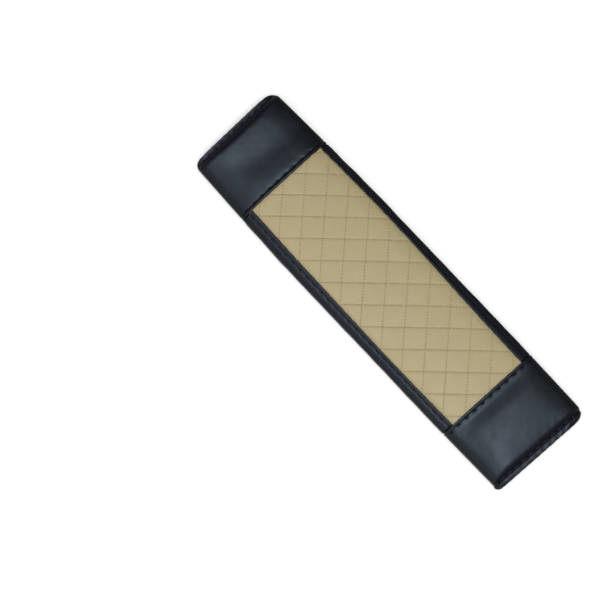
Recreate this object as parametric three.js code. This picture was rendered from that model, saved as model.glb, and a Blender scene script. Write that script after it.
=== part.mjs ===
// Shoulder pad for a seat belt: a padded sleeve that closes round the belt with hook and loop tape.
// It lies on its closed flaps with the quilted front up. X runs across the pad, Y along it, Z up.
// All sizes are in millimetres.

import * as THREE from 'three';
import { LoftGeometry } from 'three/addons/geometries/LoftGeometry.js';

// Plan of the front
const insertLength = 163.6;
const insertWidth = 52.4;
const upperPanelLength = 41.3;
const lowerPanelLength = 44.6;
const sideStripWidth = 6.4;
const seamMargin = 2.8;

// Outline: the pad narrows towards its ends, and the sewn hem flares a little at the lower end
const upperNarrowing = 4.6;
const upperNarrowingRun = 85;
const lowerNarrowing = 1.6;
const lowerNarrowingRun = 52;
const hemFlare = 1.0;
const leftCornerRadius = 3.2;
const upperRightCornerRadius = 4.5;
const lowerRightCornerRadius = 6.0;

// Section
const skinThickness = 0.8;
const liningThickness = 0.8;
const hookThickness = 1.0;
const loopThickness = 1.0;
const insertThickness = 1.5;
const foamThickness = 3.5;
const beltSpace = 5.0;
const shoulderRadius = 4.2;
const bottomRadius = 8.0;
const liningCornerRadius = 2.6;
const seat = 0.3;

// Closure: the two flaps overlap on the back by the tape and a margin on each side
const tapeWidth = 16;
const tapeSetback = 12.25;
const flapMargin = 4;
const liningSetback = 2;
const flapTurn = 1.5;

// Quilting: two rows of stitched channels that cross in diamonds
const quiltPitch = 12.25;
const fallingAngle = 44.1;
const fallingStart = 2.36;
const risingAngle = 42.5;
const risingStart = 10.71;
const quiltRelief = 0.9;
const pillowShape = 0.6;
const quiltEdgeRun = 2.2;
const quiltStep = 2.3;

// Soft shape of the front
const crown = 1.2;
const panelPuff = 1.5;
const panelTrough = 0.9;
const panelWrinkle = 0.7;
const wrinkleSlant = 0.35;
const foldPlace = 0.3;
const foldBreadth = 0.13;
const foldBead = 0.6;
const seamStitchInset = 2.4;
const hemDrop = 4.0;
const hemWidth = 3.0;
const hemSlope = 10;
const hemLip = 0.6;
const foamSetback = 8;

// Levels and lines that follow from the sizes above
const halfWidth = insertWidth / 2 + sideStripWidth;
const halfLength = (insertLength + upperPanelLength + lowerPanelLength) / 2;
const upperSeam = halfLength - upperPanelLength;
const lowerSeam = lowerPanelLength - halfLength;
const layerPitch = skinThickness + seat;
const liningDepth = layerPitch;
const tapeFloor = layerPitch + liningThickness + seat;
const loopFloor = tapeFloor + hookThickness + seat;
const underFlapLevel = loopFloor + loopThickness + seat;
const beltFloor = underFlapLevel + layerPitch + liningThickness;
const beltCeiling = beltFloor + beltSpace;
const foamFloor = beltCeiling + liningThickness + seat;
const insertDepth = layerPitch;
const foamDepthUnderInsert = insertDepth + insertThickness + seat;
const frontLevel = foamFloor + foamThickness + foamDepthUnderInsert;
const flapReach = tapeWidth / 2 + flapMargin;
const tapeLength = 2 * (halfLength - tapeSetback);

const smooth = (from, to, value) => THREE.MathUtils.smoothstep(value, from, to);
const radians = THREE.MathUtils.degToRad;

// Distance from the nearer end of the pad
const fromEnd = (y) => halfLength - Math.abs(y);

// How far a round corner of the given radius draws the side in, at a distance from the end
function cornerInset(radius, distance) {
  const reach = Math.max(radius - distance, 0);
  return radius - Math.sqrt(radius * radius - reach * reach);
}

// Half the width of the pad at y, on the side given by sign
function sideAt(y, sign) {
  const upper = Math.max((y - halfLength + upperNarrowingRun) / upperNarrowingRun, 0);
  const lower = Math.max((lowerNarrowingRun - halfLength - y) / lowerNarrowingRun, 0);
  const narrowing = upperNarrowing * upper ** 1.4 + lowerNarrowing * lower;
  const flare = y < 0 ? hemFlare * (1 - smooth(hemWidth, hemWidth + seat, fromEnd(y))) : 0;
  const rightRadius = y > 0 ? upperRightCornerRadius : lowerRightCornerRadius;
  const radius = sign < 0 ? leftCornerRadius : rightRadius;
  return halfWidth + (flare - narrowing) / 2 - cornerInset(radius, fromEnd(y));
}

// Half the width of the insert's visible face at y: the side strips keep their width along the pad
const foldAt = (y, sign) => sideAt(y, sign) - sideStripWidth;

// Height that the padding adds to the front at (x, y): a crown, and puffed panels pinched flat at the hems
function paddingRise(x, y) {
  const across = THREE.MathUtils.clamp(x / halfWidth, -1, 1);
  const roundness = 1 - across * across;
  const end = fromEnd(y);
  const pinch = 1 - smooth(hemWidth, hemWidth + hemSlope, end);
  const upperEnd = y > 0;
  const panelLength = upperEnd ? upperPanelLength : lowerPanelLength;
  const beyondSeam = Math.max(panelLength - end, 0);
  const along = Math.min(beyondSeam / panelLength, 1);
  const puff = panelPuff * Math.sin(Math.PI * along) ** 2 * Math.sqrt(roundness);
  const foldDepth = upperEnd ? panelWrinkle : panelTrough;
  const foldSlant = upperEnd ? wrinkleSlant * across : 0;
  const foldShape = Math.exp(-(((along - foldPlace + foldSlant) / foldBreadth) ** 2));
  const fold = foldDepth * foldShape * smooth(seamMargin, 3 * seamMargin, beyondSeam) * roundness;
  return crown * roundness * (1 - pinch) + puff - fold - hemDrop * pinch;
}

// The skin of an end panel adds the bead of its folded edge, the stitched groove and the rolled lip of the hem
function panelRise(x, y) {
  const end = fromEnd(y);
  const beyondSeam = (y > 0 ? upperPanelLength : lowerPanelLength) - end;
  const bead = foldBead * (1 - smooth(seamStitchInset * 0.5, seamStitchInset, beyondSeam));
  const lip = hemLip * (1 - smooth(hemWidth * 0.5, hemWidth, end));
  return paddingRise(x, y) + bead + lip;
}

// Height of the quilting over the sunk stitch lines at (x, y)
function quiltRise(x, y) {
  const falling = x * Math.sin(radians(fallingAngle)) + y * Math.cos(radians(fallingAngle));
  const rising = x * Math.sin(radians(risingAngle)) - y * Math.cos(radians(risingAngle));
  const a = Math.abs(Math.sin((Math.PI * (falling - fallingStart)) / quiltPitch));
  const b = Math.abs(Math.sin((Math.PI * (rising - risingStart)) / quiltPitch));
  const side = smooth(0, quiltEdgeRun, foldAt(y, x) - Math.abs(x));
  const end = smooth(0, quiltEdgeRun, Math.min(upperSeam - y, y - lowerSeam));
  return quiltRelief * (a * b) ** pillowShape * side * end;
}

// Points of a round stretch that turns clockwise between two angles
const arcPoints = (x, z, radius, from, to, steps) => new THREE.EllipseCurve(
  x, z, radius, radius, from, to, true,
).getPoints(steps);

// Stretches of the sleeve's section in the XZ plane, each a list of points, in clockwise order.
// They start at the free edge of the over flap and end at the free edge of the under flap.
function sleeveStretches(y, { top, shoulder, setback = 0 }) {
  const left = -sideAt(y, -1);
  const right = sideAt(y, 1);
  const quarter = Math.PI / 2;
  const turnFrom = right - bottomRadius;
  const turnTo = flapReach + flapTurn;
  const turnMiddle = (turnFrom + turnTo) / 2;
  const turn = new THREE.CubicBezierCurve(
    new THREE.Vector2(turnFrom, 0),
    new THREE.Vector2(turnMiddle, 0),
    new THREE.Vector2(turnMiddle, underFlapLevel),
    new THREE.Vector2(turnTo, underFlapLevel),
  );
  return {
    overFlap: [
      new THREE.Vector2(flapReach - setback, 0),
      ...arcPoints(left + bottomRadius, bottomRadius, bottomRadius, -quarter, -2 * quarter, 4),
    ],
    leftShoulder: arcPoints(left + shoulder, top - shoulder, shoulder, 2 * quarter, quarter, 4),
    rightShoulder: arcPoints(right - shoulder, top - shoulder, shoulder, quarter, 0, 4),
    underFlap: [
      ...arcPoints(right - bottomRadius, bottomRadius, bottomRadius, 0, -quarter, 4),
      ...turn.getPoints(6).slice(1),
      new THREE.Vector2(setback - flapReach, underFlapLevel),
    ],
  };
}

// Points along the straight front between two values of x, both ends included
function frontPoints(from, to, top, count) {
  return Array.from({ length: count + 1 }, (_, i) => new THREE.Vector2(
    THREE.MathUtils.lerp(from, to, i / count),
    top,
  ));
}

// Each point of a line moved to its right by a depth, with mitred corners so that straight runs stay parallel
function offsetLine(line, depth) {
  const normals = line.slice(1).map((point, i) => {
    const along = point.clone().sub(line[i]).normalize();
    return new THREE.Vector2(along.y, -along.x);
  });
  return line.map((point, i) => {
    const before = normals[Math.max(i - 1, 0)];
    const after = normals[Math.min(i, normals.length - 1)];
    const mitre = before.clone().add(after).divideScalar(1 + before.dot(after));
    return point.clone().addScaledVector(mitre, depth);
  });
}

// Share of the padding's rise that each point of a line takes: all of it where the line faces up, none below
function frontShares(line) {
  return line.map((point, i) => {
    const before = line[Math.max(i - 1, 0)];
    const after = line[Math.min(i + 1, line.length - 1)];
    const along = after.clone().sub(before).normalize();
    return Math.max(along.x, 0);
  });
}

// Closed section of a layer: the line at its outer depth, and back along the line at its inner depth
function layerSection(line, y, outerDepth, innerDepth, rise) {
  const shares = frontShares(line);
  const placed = (depth) => offsetLine(line, depth).map((point, i) => new THREE.Vector3(
    point.x,
    y,
    point.y + (rise ? shares[i] * rise(line[i].x, y) : 0),
  ));
  return [...placed(outerDepth), ...placed(innerDepth).reverse()];
}

function loftMesh(name, sections, material) {
  const geometry = new LoftGeometry(sections, { closed: true, capStart: true, capEnd: true });
  const mesh = new THREE.Mesh(geometry, material);
  mesh.name = name;
  return mesh;
}

const evenly = (from, to, count) => Array.from(
  { length: count + 1 },
  (_, i) => THREE.MathUtils.lerp(from, to, i / count),
);

const blackLeather = new THREE.MeshStandardMaterial({ color: 0x1c1f26, roughness: 0.42, metalness: 0 });
const beigeLeather = new THREE.MeshStandardMaterial({ color: 0xb3a47f, roughness: 0.55, metalness: 0 });
const foam = new THREE.MeshStandardMaterial({ color: 0x8a8c8f, roughness: 0.95, metalness: 0 });
const liningCloth = new THREE.MeshStandardMaterial({ color: 0x202124, roughness: 0.9, metalness: 0 });
const tapeCloth = new THREE.MeshStandardMaterial({ color: 0x141416, roughness: 0.85, metalness: 0 });

// Lines along an end panel, counted from the end of the pad: hem, pinched slope, puff and folded edge
function panelStations(panelLength) {
  const hem = [0, 0.15, 0.4, 0.75, 1, 1.1, 1.6].map((share) => share * hemWidth);
  const slope = [0.35, 0.65, 1].map((share) => hemWidth + share * hemSlope);
  const seamBead = [1.5, 1, 0.5, 0].map((share) => panelLength - share * seamStitchInset);
  const puff = evenly(slope.at(-1), seamBead[0], 6).slice(1, -1);
  return [...hem, ...slope, ...puff, ...seamBead];
}

// An end panel wraps the whole section, from the over flap's edge to the under flap's edge
function endPanel(name, panelLength, sign) {
  const sectionAt = (distance) => {
    const y = sign * (halfLength - distance);
    const { overFlap, leftShoulder, rightShoulder, underFlap } = sleeveStretches(y, {
      top: frontLevel,
      shoulder: shoulderRadius,
    });
    const front = frontPoints(leftShoulder.at(-1).x, rightShoulder[0].x, frontLevel, 12).slice(1, -1);
    const line = [...overFlap, ...leftShoulder, ...front, ...rightShoulder, ...underFlap];
    return layerSection(line, y, 0, skinThickness, panelRise);
  };
  const stations = panelStations(panelLength);
  if (sign > 0) stations.reverse();
  return loftMesh(name, stations.map(sectionAt), blackLeather);
}

// A side panel runs between the end panels: a strip of the front, the side wall and one flap
function sidePanel(name, sign) {
  const sectionAt = (y) => {
    const stretches = sleeveStretches(y, { top: frontLevel, shoulder: shoulderRadius });
    const edge = new THREE.Vector2(sign * foldAt(y, sign), frontLevel);
    const line = sign < 0
      ? [...stretches.overFlap, ...stretches.leftShoulder, edge]
      : [edge, ...stretches.rightShoulder, ...stretches.underFlap];
    return layerSection(line, y, 0, skinThickness, paddingRise);
  };
  const stations = evenly(lowerSeam + seat, upperSeam - seat, 10);
  return loftMesh(name, stations.map(sectionAt), blackLeather);
}

// The quilted insert lies under the folded edges of the black panels by the seam margin
function quiltedInsert() {
  const columnCount = Math.round(insertWidth / quiltStep);
  const rowCount = Math.round(insertLength / quiltStep);
  const withMargins = (from, to, count) => [from - seamMargin, ...evenly(from, to, count), to + seamMargin];
  const stations = withMargins(lowerSeam, upperSeam, rowCount);
  const top = frontLevel - insertDepth;
  const bottom = top - insertThickness;
  const sections = stations.map((y) => {
    const columns = withMargins(-foldAt(y, -1), foldAt(y, 1), columnCount);
    const front = columns.map(
      (x) => new THREE.Vector3(x, y, top + paddingRise(x, y) + quiltRise(x, y)),
    );
    const back = evenly(columns.at(-1), columns[0], 6).map(
      (x) => new THREE.Vector3(x, y, bottom + paddingRise(x, y)),
    );
    return [...front, ...back];
  });
  return loftMesh('quilted_insert', sections, beigeLeather);
}

// The foam core is flat on the lining, and its top follows what lies on it
function foamCore() {
  const step = seamMargin + seat;
  const underPanel = (y) => y > upperSeam + step || y < lowerSeam - step;
  const sectionAt = (y) => {
    const depth = underPanel(y) ? layerPitch : foamDepthUnderInsert;
    const half = Math.min(sideAt(y, -1), sideAt(y, 1)) - shoulderRadius;
    const top = frontLevel - depth;
    const above = evenly(-half, half, 12).map(
      (x) => new THREE.Vector3(x, y, top + paddingRise(x, y)),
    );
    return [...above, new THREE.Vector3(half, y, foamFloor), new THREE.Vector3(-half, y, foamFloor)];
  };
  const lowerStop = foamSetback - halfLength;
  const upperStop = halfLength - foamSetback;
  const stations = [
    ...evenly(lowerStop, lowerSeam - step - seat, 7),
    ...evenly(lowerSeam - step, upperSeam + step, 10),
    ...evenly(upperSeam + step + seat, upperStop, 7),
  ];
  return loftMesh('foam_core', stations.map(sectionAt), foam);
}

// The lining backs both flaps and both walls, and crosses flat under the foam
function lining() {
  const top = beltCeiling + liningThickness + liningDepth;
  const shoulder = liningCornerRadius + liningDepth;
  const sectionAt = (y) => {
    const stretches = sleeveStretches(y, { top, shoulder, setback: liningSetback });
    const { overFlap, leftShoulder, rightShoulder, underFlap } = stretches;
    const line = [...overFlap, ...leftShoulder, ...rightShoulder, ...underFlap];
    return layerSection(line, y, liningDepth, liningDepth + liningThickness, null);
  };
  const stop = halfLength - hemWidth - liningSetback;
  const stations = [
    ...evenly(-stop, lowerSeam, 4),
    ...evenly(lowerSeam, upperSeam, 6).slice(1),
    ...evenly(upperSeam, stop, 5).slice(1),
  ];
  return loftMesh('lining', stations.map(sectionAt), liningCloth);
}

// A strip of closure tape between the flaps
function tape(name, floor, thickness) {
  const geometry = new THREE.BoxGeometry(tapeWidth, tapeLength, thickness);
  const mesh = new THREE.Mesh(geometry, tapeCloth);
  mesh.position.z = floor + thickness / 2;
  mesh.name = name;
  return mesh;
}

const shoulderPad = new THREE.Group();
shoulderPad.add(
  quiltedInsert(),
  endPanel('upper_end_panel', upperPanelLength, 1),
  endPanel('lower_end_panel', lowerPanelLength, -1),
  sidePanel('left_side_panel', -1),
  sidePanel('right_side_panel', 1),
  foamCore(),
  lining(),
  tape('hook_strip', tapeFloor, hookThickness),
  tape('loop_strip', loopFloor, loopThickness),
);

export default shoulderPad;
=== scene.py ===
"""Looks of a shoulder pad for a seat belt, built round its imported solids.

The pad is a sewn sleeve. A quilted beige insert sits under the folded edges of black panels, the panels
wrap the section of the sleeve, and two flaps close on the back with hook and loop tape. Shapes are worked
out in millimetres as whole arrays and put into the meshes in metres.
"""

import logging
import math
from dataclasses import dataclass
from enum import Enum
from typing import ClassVar

import bpy
import numpy as np
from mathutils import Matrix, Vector


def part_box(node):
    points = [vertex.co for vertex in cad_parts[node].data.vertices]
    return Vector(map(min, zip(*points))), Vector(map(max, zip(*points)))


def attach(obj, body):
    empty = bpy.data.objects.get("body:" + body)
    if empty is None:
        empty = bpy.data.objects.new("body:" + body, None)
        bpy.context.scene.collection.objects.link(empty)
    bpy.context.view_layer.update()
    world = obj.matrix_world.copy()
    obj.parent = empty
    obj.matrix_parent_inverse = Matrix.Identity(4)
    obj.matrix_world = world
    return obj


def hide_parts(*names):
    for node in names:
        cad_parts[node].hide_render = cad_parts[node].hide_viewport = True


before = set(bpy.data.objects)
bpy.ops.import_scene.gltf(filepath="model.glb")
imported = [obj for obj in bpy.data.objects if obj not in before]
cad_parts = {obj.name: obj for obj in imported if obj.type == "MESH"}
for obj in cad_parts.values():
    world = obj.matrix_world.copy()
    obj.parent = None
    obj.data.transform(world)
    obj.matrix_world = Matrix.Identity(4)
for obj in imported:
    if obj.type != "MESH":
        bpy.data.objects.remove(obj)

log = logging.getLogger("shoulder_pad")

MM = 0.001
TAU = 2 * math.pi
BODY = "root"
Colour = tuple[float, float, float, float]
Run = tuple[float, float]
Trace = tuple[np.ndarray, np.ndarray, np.ndarray]


def smooth(low: float, high: float, value: np.ndarray) -> np.ndarray:
    """Rises from 0 at low to 1 at high along a cubic that is level at both ends.

    Args:
        low: Value at which the rise starts.
        high: Value at which it ends.
        value: Values to map.

    Returns:
        The share, from 0 to 1, for each value.
    """
    t = np.clip((np.asarray(value, float) - low) / (high - low), 0, 1)
    return t * t * (3 - 2 * t)


def bump(centre: float, width: float, value: np.ndarray) -> np.ndarray:
    """A bell of height 1 about centre that falls to 1/e at a width from it."""
    return np.exp(-(((np.asarray(value, float) - centre) / width) ** 2))


def ripple(x: np.ndarray, y: np.ndarray, wavelength: float, seed: int) -> np.ndarray:
    """Soft unevenness: the mean of seven sine waves in seeded directions, with lengths near the one given.

    Args:
        x: First coordinate, in millimetres.
        y: Second coordinate, in millimetres.
        wavelength: Middle length of the waves, in millimetres.
        seed: Number that picks the directions and phases.

    Returns:
        Heights of about -1 to 1.
    """
    rng = np.random.default_rng(seed)
    total = np.zeros(np.broadcast(x, y).shape)
    waves = 7
    for _ in range(waves):
        angle = rng.uniform(0, TAU)
        number = TAU / (wavelength * rng.uniform(0.7, 1.5))
        total += np.sin(number * (x * math.cos(angle) + y * math.sin(angle)) + rng.uniform(0, TAU))
    return total / math.sqrt(waves)


def unit(vectors: np.ndarray) -> np.ndarray:
    """Vectors of length 1, along the last axis."""
    return vectors / np.maximum(np.linalg.norm(vectors, axis=-1, keepdims=True), 1e-9)


def graded(start: float, stop: float, step: float, fine_start: bool = True, fine_stop: bool = True) -> np.ndarray:
    """Stations from start to stop, about a step apart, and closer at an end whose edge is rounded.

    Args:
        start: First station.
        stop: Last station.
        step: Distance between stations away from the ends.
        fine_start: Whether the first edge is rounded.
        fine_stop: Whether the last edge is rounded.

    Returns:
        The stations in order.
    """
    edge = np.array([0, 0.05, 0.14, 0.26, 0.42, 0.62, 0.86])
    sign = 1.0 if stop > start else -1.0
    head = start + sign * edge if fine_start else np.array([start])
    tail = stop - sign * edge[::-1] if fine_stop else np.array([stop])
    count = max(int(abs(tail[0] - head[-1]) / step), 1)
    middle = np.linspace(head[-1], tail[0], count + 1)[1:-1]
    return np.concatenate([head, middle, tail])


@dataclass(frozen=True)
class EndShape:
    """What differs between the two ends of the pad, in millimetres.

    Attributes:
        name: First word in the names of its piece and its solid.
        narrowing: How much narrower the pad is at the end.
        narrowing_run: Length over which it grows narrower.
        right_corner: Radius of the right corner.
        hem: Distance of the hem's stitches from the end.
        hem_slope: Length of the slope from the hem up to the front.
        hem_crease: Depth of the crease that the hem's stitches lie in.
        lip: Height of the hem's rolled lip.
        seam_shift: How far the seam's middle lies beyond that of the solid.
        seam_lean: How much farther it lies for each millimetre to the right.
        hem_shift: How far the hem's middle lies beyond that of the solid.
        hem_lean: How much farther it lies for each millimetre to the right.
        fold: Depth of the soft fold across the panel.
        fold_place: Place of the fold, as a share of the way from the seam to the hem.
        swell: Height that the simulated swell tends to.
        seam_swell: Share of the swell that is left at the seam.
        hem_calm: Distance from the hem within which the swell dies away.
    """

    name: str
    narrowing: float
    narrowing_run: float
    right_corner: float
    hem: float
    hem_slope: float
    hem_crease: float
    lip: float
    seam_shift: float
    seam_lean: float
    hem_shift: float
    hem_lean: float
    fold: float
    fold_place: float
    swell: float
    seam_swell: float
    hem_calm: float


UPPER_SHAPE = EndShape(
    name="upper", narrowing=4.6, narrowing_run=85.0, right_corner=4.5, hem=2.5, hem_slope=6.4, hem_crease=0.45,
    lip=0.4, seam_shift=-0.45, seam_lean=0.0, hem_shift=1.1, hem_lean=0.02, fold=0.6, fold_place=0.46,
    swell=0.5, seam_swell=0.6, hem_calm=5.0,
)
LOWER_SHAPE = EndShape(
    name="lower", narrowing=1.6, narrowing_run=52.0, right_corner=6.0, hem=3.8, hem_slope=5.4, hem_crease=0.12,
    lip=1.1, seam_shift=0.7, seam_lean=0.016, hem_shift=0.35, hem_lean=0.034, fold=0.8, fold_place=0.14,
    swell=0.55, seam_swell=0.1, hem_calm=16.0,
)


class End(Enum):
    """The two ends of the pad, by the sign of Y."""

    UPPER = 1
    LOWER = -1

    @property
    def shape(self) -> EndShape:
        """The sizes of this end."""
        return UPPER_SHAPE if self is End.UPPER else LOWER_SHAPE


@dataclass(frozen=True)
class PadSizes:
    """Sizes of the pad in millimetres, from the boxes of the solids and a few named thicknesses."""

    half_width: float
    half_length: float
    upper_seam: float
    lower_seam: float
    foam_floor: float
    under_flap_level: float
    flap_reach: float
    tape_half_width: float
    tape_half_length: float
    hook_floor: float
    loop_floor: float
    strip_width: float = 6.4
    seam_margin: float = 2.8
    seat: float = 0.3
    skin: float = 0.8
    fold_thickness: float = 1.1
    lining: float = 0.8
    front_rise: float = 6.4
    hem_flare: float = 1.4
    flare_run: float = 3.0
    left_corner: float = 3.4
    right_corner_breadth: float = 1.2
    shoulder_radius: float = 4.2
    bottom_radius: float = 8.0
    lining_corner_radius: float = 2.6
    flap_turn: float = 1.5

    @classmethod
    def from_frame(cls) -> "PadSizes":
        """Reads the sizes that the solids' boxes give."""

        def box(node: str) -> tuple[np.ndarray, np.ndarray]:
            """The two far corners of a solid's box, in millimetres."""
            low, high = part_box(node)
            return np.array(low) / MM, np.array(high) / MM

        side_low, side_high = box("left_side_panel")
        right_low, _ = box("right_side_panel")
        upper = box("upper_end_panel")[1]
        foam_low = box("foam_core")[0]
        hook_low, hook_high = box("hook_strip")
        loop_low, loop_high = box("loop_strip")
        seat = cls.seat
        return cls(
            half_width=-side_low[0],
            half_length=upper[1],
            upper_seam=side_high[1] + seat,
            lower_seam=side_low[1] - seat,
            foam_floor=foam_low[2],
            under_flap_level=loop_high[2] + seat,
            flap_reach=-right_low[0],
            tape_half_width=hook_high[0],
            tape_half_length=hook_high[1],
            hook_floor=hook_low[2],
            loop_floor=loop_low[2],
        )

    def seam(self, end: End) -> float:
        """Place along the pad of an end panel's seam."""
        return self.upper_seam if end is End.UPPER else self.lower_seam

    def panel_length(self, end: End) -> float:
        """Length of an end panel along the pad."""
        return self.half_length - end.value * self.seam(end)

    @property
    def front_level(self) -> float:
        """Height of the side strips' face over the surface that the pad lies on."""
        return self.foam_floor + self.front_rise

    @property
    def belt_ceiling(self) -> float:
        """Height of the flat underside of the lining, over the belt."""
        return self.foam_floor - self.seat - self.lining


class Stretch(Enum):
    """Stretches of the sleeve's section, in clockwise order seen from the lower end."""

    OVER_FLAP = 0
    LEFT_BOTTOM = 1
    LEFT_WALL = 2
    LEFT_SHOULDER = 3
    FRONT = 4
    RIGHT_SHOULDER = 5
    RIGHT_WALL = 6
    RIGHT_BOTTOM = 7
    UNDER_TURN = 8
    UNDER_FLAP = 9


@dataclass(frozen=True)
class Surface:
    """A grid of points on the outside of a layer: first index round the section, second along the pad.

    Attributes:
        points: Places, in millimetres, with shape (n, m, 3).
        share: How far each point faces up, from 0 to 1.
        arc: Distance round the section from its first point, in millimetres.
    """

    points: np.ndarray
    share: np.ndarray
    arc: np.ndarray

    @classmethod
    def facing_up(cls, x: np.ndarray, y: np.ndarray, z: np.ndarray) -> "Surface":
        """A surface over the ground that faces up.

        Args:
            x: Places across the pad, shape (n, m).
            y: Places along the pad, shape (m,).
            z: Heights, shape (n, m).

        Returns:
            The surface.
        """
        points = np.stack([x, np.broadcast_to(y, x.shape), z], axis=2)
        return cls(points, np.ones_like(x), x - x[:1])

    def section_normals(self) -> np.ndarray:
        """Unit normals that lie in the section: the direction round it, turned a quarter out of the pad.

        Moves along them never change Y, so stations along the pad keep their order.
        """
        way = np.gradient(self.points, axis=0)
        normal = np.stack([-way[..., 2], np.zeros(way.shape[:2]), way[..., 0]], axis=2)
        return unit(normal)

    def normals(self) -> np.ndarray:
        """Unit normals of the surface itself: the cross product of its two grid directions."""
        normal = np.cross(np.gradient(self.points, axis=0), np.gradient(self.points, axis=1))
        return unit(normal)

    def pushed(self, distance: np.ndarray) -> "Surface":
        """The surface moved out along its section normals by a distance at each point."""
        moved = self.points + self.section_normals() * np.asarray(distance)[..., None]
        return Surface(moved, self.share, self.arc)


@dataclass(frozen=True)
class SleeveForm:
    """The soft shape of the sleeve: its outline, its section and how the padding lifts the front.

    A run is a pair of places between which something starts and is complete. Sizes are in millimetres, and the
    shares of a panel's length count from its seam.

    Attributes:
        sizes: Sizes of the pad.
        crown: Height of the crown across the front.
        crown_loss: Share of the crown that is lost over the lower panel.
        crown_loss_run: Run of that loss, in shares of the panel's length.
        side_roll: How far the front rolls down at its sides.
        roll_reach: Distance from the side at which it starts to roll down.
        roll_gain: How much shorter that distance is at the right of the lower panel.
        right_run: Run from the middle to the right side, in shares of half the width.
        lower_run: Run out of the lower panel, from its seam.
        roll_power: Power of the roll.
        panel_puff: Height that the end panels puff up.
        lower_rise_run: Run of the lower panel's rise, in shares of its length.
        lower_fall: Share of the puff that the lower panel loses towards its hem.
        lower_fall_run: Run of that fall, in shares of the panel's length.
        upper_rise: Share of the puff that the pad rises by towards the upper panel.
        upper_rise_run: Run of that rise along the pad.
        upper_dip_run: Run in which the upper panel loses the rise, in shares of its length.
        upper_lift_run: Run in which it gains the rise again.
        fold_slant: How much nearer the seam the upper fold lies at the right, as a share of the panel's length.
        fold_run: Run across the pad in which the upper fold grows deep, in shares of half the width.
        fold_breadth: Breadth of the folds, as a share of the panel's length.
        right_strip_gain: How much narrower the right strip grows.
        right_strip_start: How much wider than the solid's it starts.
        right_strip_run: Run of its narrowing along the pad.
        left_strip_gain: How much narrower the left strip is at its narrowest.
        left_strip_middle: Place of the narrowest part.
        left_strip_breadth: Breadth of the narrow part.
        hem_drop: How far the section sinks at the hems.
        hem_power: Power of the slope to the hems.
        narrowing_power: Power of the upper end's narrowing.
        flare_share: Run of the lower hem's flare, in shares of its length.
    """

    sizes: PadSizes
    crown: float = 1.5
    crown_loss: float = 0.35
    crown_loss_run: Run = (0.1, 0.7)
    side_roll: float = 2.5
    roll_reach: float = 17.0
    roll_gain: float = 4.5
    right_run: Run = (0.2, 0.5)
    lower_run: Run = (-5.0, 20.0)
    roll_power: float = 2.6
    panel_puff: float = 1.1
    lower_rise_run: Run = (0.0, 0.34)
    lower_fall: float = 0.7
    lower_fall_run: Run = (0.4, 1.0)
    upper_rise: float = 0.6
    upper_rise_run: Run = (5.0, 75.0)
    upper_dip_run: Run = (0.0, 0.45)
    upper_lift_run: Run = (0.5, 1.0)
    fold_slant: float = 0.14
    fold_run: Run = (-2.2, 0.4)
    fold_breadth: float = 0.21
    right_strip_gain: float = 2.6
    right_strip_start: float = 0.7
    right_strip_run: Run = (-80.0, 45.0)
    left_strip_gain: float = 0.7
    left_strip_middle: float = -30.0
    left_strip_breadth: float = 45.0
    hem_drop: float = 2.9
    hem_power: float = 4.0
    narrowing_power: float = 1.4
    flare_share: Run = (0.7, 1.5)

    def from_end(self, y: np.ndarray) -> np.ndarray:
        """Distance of y from the nearer end of the pad."""
        return np.maximum(self.sizes.half_length - np.abs(y), 0)

    def side(self, y: np.ndarray, sign: int) -> np.ndarray:
        """Half the width at y on one side: narrowed towards the ends, flared at the hem, round at the corner.

        Args:
            y: Places along the pad.
            sign: -1 for the left side and 1 for the right.

        Returns:
            Distance of that side from the middle line.
        """
        s, up, low = self.sizes, UPPER_SHAPE, LOWER_SHAPE
        upper = np.maximum((y - s.half_length + up.narrowing_run) / up.narrowing_run, 0)
        lower = np.maximum((low.narrowing_run - s.half_length - y) / low.narrowing_run, 0)
        narrowing = up.narrowing * upper**self.narrowing_power + low.narrowing * lower
        end = self.from_end(y)
        flare_start, flare_stop = (s.flare_run * share for share in self.flare_share)
        flare = np.where(y < 0, s.hem_flare * (1 - smooth(flare_start, flare_stop, end)), 0)
        radius = s.left_corner if sign < 0 else np.where(y > 0, up.right_corner, low.right_corner)
        reach = np.clip(radius - end, 0, radius)
        corner = (radius - np.sqrt(radius**2 - reach**2)) * (s.right_corner_breadth if sign > 0 else 1.0)
        return s.half_width + (flare - narrowing) / 2 - corner

    def fold(self, y: np.ndarray, sign: int) -> np.ndarray:
        """Distance from the middle line to the folded edge of a side strip at y.

        The right strip grows narrower along a cubic step towards the upper end, and the left one is narrowest
        a little below the middle.

        Args:
            y: Places along the pad.
            sign: -1 for the left strip and 1 for the right.

        Returns:
            Distance of that edge from the middle line.
        """
        if sign > 0:
            narrower = self.right_strip_gain * smooth(*self.right_strip_run, y) - self.right_strip_start
        else:
            narrower = self.left_strip_gain * bump(self.left_strip_middle, self.left_strip_breadth, y)
        return self.side(y, sign) - self.sizes.strip_width + narrower

    def inside(self, x: np.ndarray, y: np.ndarray) -> np.ndarray:
        """Distance of (x, y) from the nearer side of the pad."""
        return np.minimum(self.side(y, 1) - x, self.side(y, -1) + x)

    def pinch(self, y: np.ndarray) -> np.ndarray:
        """Share of the hem's drop at y: 1 within the hem, and dying away along a power of the distance from it."""
        beyond = self.from_end(y) - np.where(y > 0, UPPER_SHAPE.hem, LOWER_SHAPE.hem)
        run = np.where(y > 0, UPPER_SHAPE.hem_slope, LOWER_SHAPE.hem_slope)
        return (1 - np.clip(beyond / run, 0, 1)) ** self.hem_power

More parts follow.
